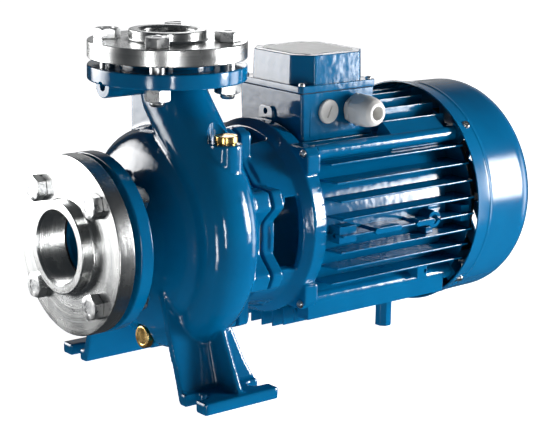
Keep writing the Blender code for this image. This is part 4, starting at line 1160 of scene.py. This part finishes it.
def fin(front_root, front_tip, reach):
    """A fin that lies in XY and points to +Y, with its thickness about height zero."""
    outline = [(front_root, FIN_ROOT), (front_tip, reach), (FIN_REAR_X, reach), (FIN_REAR_X, FIN_ROOT)]
    made = drawn_out(outline, -FIN_THICKNESS / 2, FIN_THICKNESS / 2)
    for vert in made.verts:
        if vert.co.y > FIN_ROOT + 0.001:
            vert.co.z *= FIN_PINCH
    return round_edges(made, 0.0006, steeper_than=40)


def side_fins():
    made = []
    for i in range(-3, 5):
        z = FIN_OFFSET + FIN_PITCH * i
        for side in (-1, 1):
            blank = fin(FIN_FRONT_X - FIN_SLANT, FIN_FRONT_X, fin_reach(FIN_RADIUS, z))
            made.append(moved(blank, at(0, 0, SHAFT_Z + z) @ Matrix.Diagonal((1, side, 1, 1))))
    return made


def standing_fins():
    made = []
    for i in range(-4, 4):
        y = FIN_PITCH * (i + 0.5)
        for up, front, radius in ((1, TOP_FIN_FRONT_X, FIN_RADIUS), (-1, LOW_FIN_FRONT_X, LOW_FIN_RADIUS)):
            blank = fin(front, front, fin_reach(radius, y))
            upright = Matrix.Rotation(radians(90 * up), 4, "X")
            made.append(moved(blank, at(0, y, SHAFT_Z) @ upright))
    return made


fins_at_sides, fins_upright = side_fins(), standing_fins()
print("fins:", len(fins_at_sides), "at the sides,", len(fins_upright), "above and below")

# %% [markdown]
# What stands out between the fins is milled or drilled: blocks for bolt-on feet at both ends
# of each side, a ring boss with two bars in front of it, a tab with a hole, and a flat pad
# beside the top fins. The far side is the same, so the same functions make it, mirrored.

# %% Add the bosses and weld the frame
BLOCK_LOW_Z, BLOCK_TOP_Z, BLOCK_REACH = 0.146, 0.164, 0.1135
LIFT_X, LIFT_RADIUS, LIFT_HOLE, LIFT_REACH = 0.2795, 0.0095, 0.0052, 0.1150
BAR_HALF = 0.0033
BOX_X, BOX_FOOT_Z = 0.1887, 0.246
SUPPORT_X, SUPPORT_TOP = 0.315, 0.0353


def ridge_bar(x_low, x_high, reach):
    """A stiffening bar on the middle fin, with slanted ends."""
    z = SHAFT_Z + FIN_OFFSET
    outline = [(x_low, 0), (x_low + 0.003, BAR_HALF), (x_high - 0.003, BAR_HALF), (x_high, 0),
               (x_high - 0.003, -BAR_HALF), (x_low + 0.003, -BAR_HALF)]
    return moved(drawn_out(outline, 0.090, reach, edge=0.0007), facing_near(0, 0, z))


def side_details():
    """The bosses of the near side."""
    z = SHAFT_Z + FIN_OFFSET
    made = []
    for x_low, x_high in ((0.1415, 0.1655), (0.322, 0.3345)):
        for low, high in ((BLOCK_LOW_Z, z - 0.0004), (z + 0.0004, BLOCK_TOP_Z)):
            made.append(block((x_low, -BLOCK_REACH, low), (x_high, -0.080, high), 0.0006))
        made.append(block((x_low, -BLOCK_REACH + 0.0008, z - 0.002), (x_high, -0.080, z + 0.002)))
    made.append(moved(rod(LIFT_RADIUS, 0.085, LIFT_REACH, 48, 0.0008), facing_near(LIFT_X, 0, z)))
    made += [ridge_bar(0.185, 0.226, 0.1215), ridge_bar(0.246, LIFT_X - 0.004, 0.1215)]
    made.append(block((0.272, -0.112, 0.166), (0.286, -0.085, 0.170), 0.0008))
    made.append(block((0.2735, -0.108, 0.1375), (0.284, -0.085, 0.1450), 0.0008))
    made.append(block((0.273, -0.098, 0.084), (0.288, -0.080, 0.100), 0.0010))
    pad = [(-0.050, 0.225), (-0.062, 0.2595), (-0.066, 0.2595), (-0.0815, 0.248), (-0.0815, 0.230)]
    made.append(moved(drawn_out(pad, 0.2425, 0.322, 0.0007), ALONG_SHAFT))
    made.append(block((LOW_FIN_FRONT_X, -0.0875, 0.0595), (0.324, -0.070, 0.080), 0.0010))
    for degrees in (-45, 45):
        y, z = polar(0.113, degrees)
        made.append(moved(rod(0.0085, MOTOR_FRONT_X, MOTOR_REAR_X - 0.002, 40, 0.0012), shaftwise(0, y, z)))
        root = block((0.080, -0.007, MOTOR_FRONT_X + 0.0005), (0.113, 0.007, MOTOR_REAR_X - 0.003))
        made.append(moved(root, shaftwise() @ Matrix.Rotation(radians(180 - degrees), 4, "Z")))
    return made


def side_holes():
    z = SHAFT_Z + FIN_OFFSET
    return [
        moved(rod(LIFT_HOLE, 0.098, 0.130, 32), facing_near(LIFT_X, 0, z)),
        moved(rod(0.0030, -0.012, 0.004, 24), facing_suction(0.1415, -0.1055, z - 0.0005)),
        moved(rod(0.0022, 0.090, 0.110, 24), facing_near(0.285, 0, 0.0915)),
    ]


def mirrored(shapes):
    """The same shapes for the far side."""
    return [moved(shape, Matrix.Diagonal((1, -1, 1, 1))) for shape in shapes]


def motor_frame():
    barrel = [(0, BARREL_REAR_X), (BARREL_RADIUS, BARREL_REAR_X, 0.001),
              (BARREL_RADIUS, MOTOR_FRONT_X + 0.003), (0.101, MOTOR_FRONT_X + 0.003),
              (0.101, MOTOR_FRONT_X), (0, MOTOR_FRONT_X)]
    tail = moved(rod(TAIL_RADIUS, 0.300, MOTOR_REAR_X, 96), shaftwise())
    boss = moved(rod(0.013, SUPPORT_TOP, 0.070, 40, 0.001), at(SUPPORT_X, 0, 0))
    saddle = block((BOX_X - 0.052, -0.054, 0.215), (BOX_X + 0.052, 0.054, BOX_FOOT_Z), 0.001)
    shapes = [tail, boss, saddle, *fins_at_sides, *fins_upright]
    shapes += side_details() + mirrored(side_details())
    holes = side_holes() + mirrored(side_holes())
    holes.append(moved(rod(0.018, 0.120, MOTOR_FRONT_X + 0.003, 40), shaftwise()))
    ring_room = moved(rod(0.1076, 0.100, MOTOR_FRONT_X, 96), shaftwise())
    return carved(welded(moved(turned(barrel), shaftwise()), shapes), [*holes, ring_room])


finish("motor_frame", motor_frame(), "blue_paint", "motor_frame")
# The post has eight sides, and four of them stand square to the shaft
post = rod(0.0100, 0, SUPPORT_TOP - SEAT_GAP, 8, 0.0008)
post = moved(post, at(SUPPORT_X, 0, 0) @ Matrix.Rotation(radians(22.5), 4, "Z"))
finish("support_foot", post, "blue_paint", "support_foot")

# %% [markdown]
# The fan cover is deep-drawn from sheet. Its front edge flares, a small bead stiffens it
# where the flare ends, and the rear corner is a wide radius. The sheet's thickness is part
# of the profile, so one spin makes the inside and the outside, and the air slots are cut.

# %% Draw the fan cover
COVER_FRONT_X, COVER_BEAD_X, COVER_REAR_X = 0.335, 0.356, 0.438
COVER_FRONT_RADIUS, COVER_BEAD_RADIUS, COVER_REAR_RADIUS = 0.1283, 0.1250, 0.1242
COVER_CORNER, COVER_WALL = 0.030, 0.0016
AIR_SLOTS = 12
COVER_SCREW_X = 0.3485
COVER_SCREW_ANGLES = (45, -45, 135, -135)


def cover_skin(inset):
    """The cover's skin from the middle of its rear to its front edge."""
    points = [(0, COVER_REAR_X - inset), (0.024, COVER_REAR_X - inset)]
    points += [(0.026, COVER_REAR_X - inset - 0.0012), (0.090, COVER_REAR_X - inset - 0.0012)]
    middle, corner_x = COVER_REAR_RADIUS - COVER_CORNER, COVER_REAR_X - COVER_CORNER
    radius = COVER_CORNER - inset
    for degrees in range(0, 91, 9):
        turn = radians(degrees)
        points.append((middle + radius * sin(turn), corner_x + radius * cos(turn)))
    points += [(COVER_REAR_RADIUS - inset, corner_x - 0.003)]
    points += [
        (COVER_BEAD_RADIUS - inset, COVER_BEAD_X + 0.0060),
        (COVER_BEAD_RADIUS - inset, COVER_BEAD_X + 0.0030),
        (COVER_BEAD_RADIUS - inset + 0.0009, COVER_BEAD_X + 0.0012),
        (COVER_BEAD_RADIUS - inset + 0.0009, COVER_BEAD_X - 0.0002),
        (COVER_BEAD_RADIUS - inset + 0.0001, COVER_BEAD_X - 0.0018),
        (COVER_FRONT_RADIUS - inset, COVER_FRONT_X),
    ]
    return points


def round_slot(reach_in, reach_out, half, low, high):
    """A radial slot with round ends, as a tool to cut with."""
    ends = [(reach_in, -half, half * 0.9), (reach_out, -half, half * 0.9),
            (reach_out, half, half * 0.9), (reach_in, half, half * 0.9)]
    return drawn_out(ends, low, high)


def fan_cover():
    shell = moved(turned(cover_skin(0) + cover_skin(COVER_WALL)[::-1], 128), shaftwise())
    slots = []
    for i in range(AIR_SLOTS):
        slot = round_slot(0.030, 0.085, 0.0045, COVER_REAR_X - 0.008, COVER_REAR_X + 0.004)
        slots.append(moved(slot, shaftwise() @ Matrix.Rotation(2 * pi * i / AIR_SLOTS, 4, "Z")))
    return carved(shell, slots)


def cover_screws():
    """Pan heads that sit square on the flare."""
    heads = []
    slope = atan2(COVER_FRONT_RADIUS - COVER_BEAD_RADIUS, COVER_BEAD_X - COVER_FRONT_X)
    share = (COVER_BEAD_X - COVER_SCREW_X) / (COVER_BEAD_X - COVER_FRONT_X)
    radius = COVER_BEAD_RADIUS + (COVER_FRONT_RADIUS - COVER_BEAD_RADIUS) * share
    for degrees in COVER_SCREW_ANGLES:
        square_on = Matrix.Rotation(radians(90) + slope, 4, "Y")
        place = shaftwise() @ Matrix.Rotation(radians(180 - degrees), 4, "Z")
        head = moved(cross_head(0.0046, 0.0028), at(radius - 0.0002, 0, COVER_SCREW_X) @ square_on)
        heads.append(moved(head, place))
    return gathered(heads)


finish("fan_cover", fan_cover(), "blue_paint", "fan_cover", smooth_to=40, look=SHEET_BLUE)
finish("fan_cover_screws", cover_screws(), "bolt_steel")

# %% [markdown]
# Behind the fins stands the rear end shield, with a lug for each cover screw, and behind that
# the fan. Both show only through the gap in front of the cover and through its slots.

# %% Turn the rear shield and mould the fan
SHAFT_RADIUS = 0.012
BLADE_COUNT = 8
SHIELD_LUGS, SHIELD_WEBS = 4, 8
FAN_PLATE = 0.0905


def rear_shield():
    low = MOTOR_REAR_X + SEAT_GAP
    profile = [
        (0, low + 0.022), (0.030, low + 0.022, 0.002), (0.034, low + 0.010, 0.002),
        (0.108, low + 0.006, 0.001), (0.112, low, 0.0005), (0, low),
    ]
    lugs = []
    for i in range(SHIELD_LUGS):
        turn = shaftwise() @ Matrix.Rotation(radians(45 + 360 / SHIELD_LUGS * i), 4, "Z")
        corners = (0.095, -0.008, low + 0.0002), (0.1222, 0.008, low + 0.016)
        lugs.append(moved(block(*corners, 0.001), turn))
    webs = []
    for i in range(SHIELD_WEBS):
        corners = (0.030, -0.0015, low + 0.002), (0.104, 0.0015, low + 0.010)
        turn = shaftwise() @ Matrix.Rotation(radians(360 / SHIELD_WEBS * i), 4, "Z")
        webs.append(moved(block(*corners, 0.0006), turn))
    hole = moved(rod(SHAFT_RADIUS + SEAT_GAP, low + 0.010, low + 0.030, 40), shaftwise())
    return carved(welded(moved(turned(profile), shaftwise()), lugs + webs), [hole])


def cooling_fan():
    low = MOTOR_REAR_X + 0.026
    stub = SHAFT_RADIUS - SEAT_GAP
    profile = [
        (0, low + 0.034), (0.018, low + 0.034, 0.002), (0.020, low + 0.006, 0.002),
        (FAN_PLATE, low + 0.003, 0.0008), (FAN_PLATE, low, 0.0008), (stub, low), (stub, low - 0.0155),
        (0, low - 0.0155),
    ]
    blades = []
    for i in range(BLADE_COUNT):
        blade = block((0.015, -0.0012, low + 0.001), (0.092, 0.0012, low + 0.030), 0.0006)
        blades.append(moved(blade, shaftwise() @ Matrix.Rotation(2 * pi * i / BLADE_COUNT, 4, "Z")))
    return welded(moved(turned(profile, 72), shaftwise()), blades)


finish("rear_shield", rear_shield(), "blue_paint", "rear_shield")
finish("cooling_fan", cooling_fan(), "black_plastic", "cooling_fan")

# %% [markdown]
# The terminal box is die-cast: a tapered body that sits on the motor's saddle, a seal, and a
# lid whose dome has cut-off corners. Die casting gives small even radii, so every edge gets
# the same narrow bevel. The label on the lid is left as a bare plate.

# %% Cast the terminal box
BOX_RIM_Z, LID_RIM_Z, LID_TOP_Z = 0.298, 0.306, 0.3373
LID_HALF, LID_CORNER, DOME_CORNER = 0.0543, 0.004, 0.0193
OUTLET_Z, PLUG_X, GLAND_X, BOX_FRONT_Y = 0.2765, 0.173, 0.2085, -0.0536
PAD_Y, PAD_Z = 0.0045, 0.2725
SEAL_HALF, SEAL_REACH_X, SEAL_REACH_Y = 0.0004, 0.0505, 0.0525
DIE_EDGE = 0.0011


def tapered(outline_low, outline_high, low, high, edge):
    """A block that changes from one outline to another of as many points."""
    bm = bmesh.new()
    loops = []
    for outline, z in ((outline_low, low), (outline_high, high)):
        verts = [bm.verts.new((x, y, z)) for x, y in outline]
        loops.append([bm.edges.new(pair) for pair in zip(verts, verts[1:] + verts[:1])])
    bmesh.ops.bridge_loops(bm, edges=loops[0] + loops[1])
    for loop in loops:
        bmesh.ops.contextual_create(bm, geom=loop)
    bmesh.ops.recalc_face_normals(bm, faces=bm.faces)
    return round_edges(bm, edge, segments=3)


def cut_square(half, corner, half_y=None):
    """A square round the box's axis with its corners cut off."""
    reach_y = half if half_y is None else half_y
    near, near_y = half - corner, reach_y - corner
    points = [(half, -near_y), (half, near_y), (near, reach_y), (-near, reach_y)]
    points += [(-x, -y) for x, y in points]
    return [(BOX_X + x, y) for x, y in points]


def terminal_box():
    low, high = BOX_FOOT_Z + 0.0003, BOX_RIM_Z - SEAL_HALF
    body = tapered(
        cut_square(0.0500, 0.0025, 0.0530), cut_square(0.0520, 0.0025, 0.0536), low, high, 0.0009
    )
    arch = [(-0.0120, -0.0095), (0.0120, -0.0095), (0.0120, 0.0060, 0.006), (-0.0120, 0.0060, 0.006)]
    pad = drawn_out(arch, 0.045, 0.0545, 0.0009)
    upright = Matrix.Rotation(radians(-90), 4, "Z") @ Matrix.Rotation(radians(90), 4, "X")
    pad = moved(pad, at(BOX_X, PAD_Y, PAD_Z) @ upright)
    panel = [(-0.040, -0.026), (0.044, -0.026), (0.044, 0.019), (-0.040, 0.019)]
    panel = moved(drawn_out(panel, 0.045, -BOX_FRONT_Y, 0.0005), facing_near(BOX_X, 0, OUTLET_Z))
    holes = [moved(rod(0.0035, -0.012, 0.012, 32), facing_suction(BOX_X - 0.051, PAD_Y, PAD_Z))]
    for x, radius in ((PLUG_X, 0.0105), (GLAND_X, 0.0125)):
        holes.append(moved(rod(radius, 0.045, 0.060, 48), facing_near(x, 0, OUTLET_Z)))
    holes.append(moved(rod(0.0973, 0.100, 0.260, 96), shaftwise()))
    return carved(welded(body, [pad, panel]), holes)


def terminal_box_lid():
    square = cut_square(LID_HALF, LID_CORNER)
    rim = tapered(square, square, BOX_RIM_Z + SEAL_HALF, LID_RIM_Z, DIE_EDGE)
    dome = tapered(
        cut_square(0.0510, DOME_CORNER), cut_square(0.0500, DOME_CORNER - 0.0006),
        LID_RIM_Z - 0.002, LID_TOP_Z, 0.0013,
    )
    return welded(rim, [dome])


finish("terminal_box", terminal_box(), "blue_paint", "terminal_box")
finish("terminal_box_lid", terminal_box_lid(), "blue_paint", "terminal_box_lid")
seal = block(
    (BOX_X - SEAL_REACH_X, -SEAL_REACH_Y, BOX_RIM_Z - SEAL_HALF),
    (BOX_X + SEAL_REACH_X, SEAL_REACH_Y, BOX_RIM_Z + SEAL_HALF),
)
finish("terminal_box_seal", seal, "gasket_fibre")
LABEL_HALF = 0.0395
label = moved(
    drawn_out([(x - BOX_X, y) for x, y in cut_square(LABEL_HALF, 0.010)], 0, 0.0005, 0.0001),
    at(BOX_X, 0, LID_TOP_Z),
)
finish("lid_label", label, "white_plastic")


def lid_screws():
    heads = []
    for a, b in ((1, 1), (-1, 1), (-1, -1), (1, -1)):
        place = at(BOX_X + a * 0.0475, b * 0.0475, LID_RIM_Z - 0.0002)
        heads.append(moved(cross_head(0.0034, 0.0030), place))
    return gathered(heads)


finish("lid_screws", lid_screws(), "bolt_steel")

# %% [markdown]
# Two plastic fittings close the box's near side: a slotted plug in the spare outlet, and the
# cable gland. The gland's dome nut is a turned dome whose sides are cut flat six times, which
# is how a moulded nut gives a spanner its grip, and its corner points to the suction side.

# %% Mould the plug and the gland
OUTLET_SEAT = -BOX_FRONT_Y + 0.0003


def blind_plug():
    profile = [
        (0, 0.0035), (0.0120, 0.0035, 0.0006), (0.0132, 0.0022, 0.0006), (0.0132, 0.0003),
        (0.0100, 0.0003), (0.0100, -0.007), (0, -0.007),
    ]
    slot = block((-0.0070, -0.0008, 0.0022), (0.0070, 0.0008, 0.006))
    slot = moved(slot, Matrix.Rotation(radians(65), 4, "Z"))
    return moved(carved(turned(profile, 64), [slot]), facing_near(PLUG_X, -OUTLET_SEAT, OUTLET_Z))


def cable_gland():
    neck = [
        (0.0075, 0.0105), (0.0155, 0.0105), (0.0155, 0.0100), (0.0130, 0.0098), (0.0130, 0.0003),
        (0.0120, 0.0003), (0.0120, -0.007), (0.0075, -0.007),
    ]
    dome = [
        (0.0075, 0.0410, 0.0006), (0.0105, 0.0410, 0.0010), (0.0140, 0.0372, 0.0016),
        (0.0162, 0.0300, 0.0030), (0.0177, 0.0180, 0.0020), (0.0177, 0.0110, 0.0004),
        (0.0075, 0.0110),
    ]
    flats = moved(rod(0.0190, 0.005, 0.050, 6), Matrix.Rotation(radians(8), 4, "Z"))
    nut = boolean(turned(dome, 96, closed=True), [flats], "INTERSECT")
    body = hexagon(0.0181, 0.0042, 0.0098, 0, both_ends=True)
    body = carved(body, [rod(0.0126, -0.010, 0.020, 64)])
    whole = gathered([turned(neck, 64, closed=True), body, nut])
    return moved(whole, facing_near(GLAND_X, -OUTLET_SEAT, OUTLET_Z))


finish("blind_plug", blind_plug(), "white_plastic", "blind_plug")
finish("cable_gland", cable_gland(), "white_plastic", "cable_gland", smooth_to=24)

# %% [markdown]
# Down the suction bore the impeller's eye shows: the turned shroud, the nut on the shaft and
# the leading ends of six blades. A blade is a strip drawn out along a curve and then leaned,
# because an impeller's blades turn the water as well as push it.

# %% Cast the impeller's eye
IMPELLER_VANES = 6


def vane():
    """A curved blade from the hub to the shroud."""
    bend = [(0.0130 + 0.004 * i, 0.00085 * i * i - 0.003, 0.0016) for i in range(7)]
    outline = [(x, y - half) for x, y, half in bend] + [(x, y + half) for x, y, half in reversed(bend)]
    blade = drawn_out(outline, 0.003, 0.0125, 0.0006)
    for vert in blade.verts:
        vert.co.y += (vert.co.z - 0.003) * 0.55
    return blade


def impeller():
    profile = [
        (0, 0), (0.0415, 0, 0.0008), (0.0415, 0.013, 0.0012), (0.0365, 0.013, 0.0012),
        (0.0340, 0.004, 0.002), (0.0150, 0.004, 0.001), (0.0140, 0.0155, 0.003), (0, 0.0155),
    ]
    turns = [2 * pi * i / IMPELLER_VANES for i in range(IMPELLER_VANES)]
    blades = [moved(vane(), Matrix.Rotation(turn, 4, "Z")) for turn in turns]
    nut = hexagon(0.0105, 0.0150, 0.0182, 10, both_ends=False)
    whole = welded(turned(profile, 96), [*blades, nut])
    place = at(EYE_X - SEAT_GAP, 0, SHAFT_Z) @ Matrix.Rotation(radians(-90), 4, "Y")
    return moved(whole, place)


finish("impeller", impeller(), "stainless", "impeller")

# %% End
print("all pieces made")
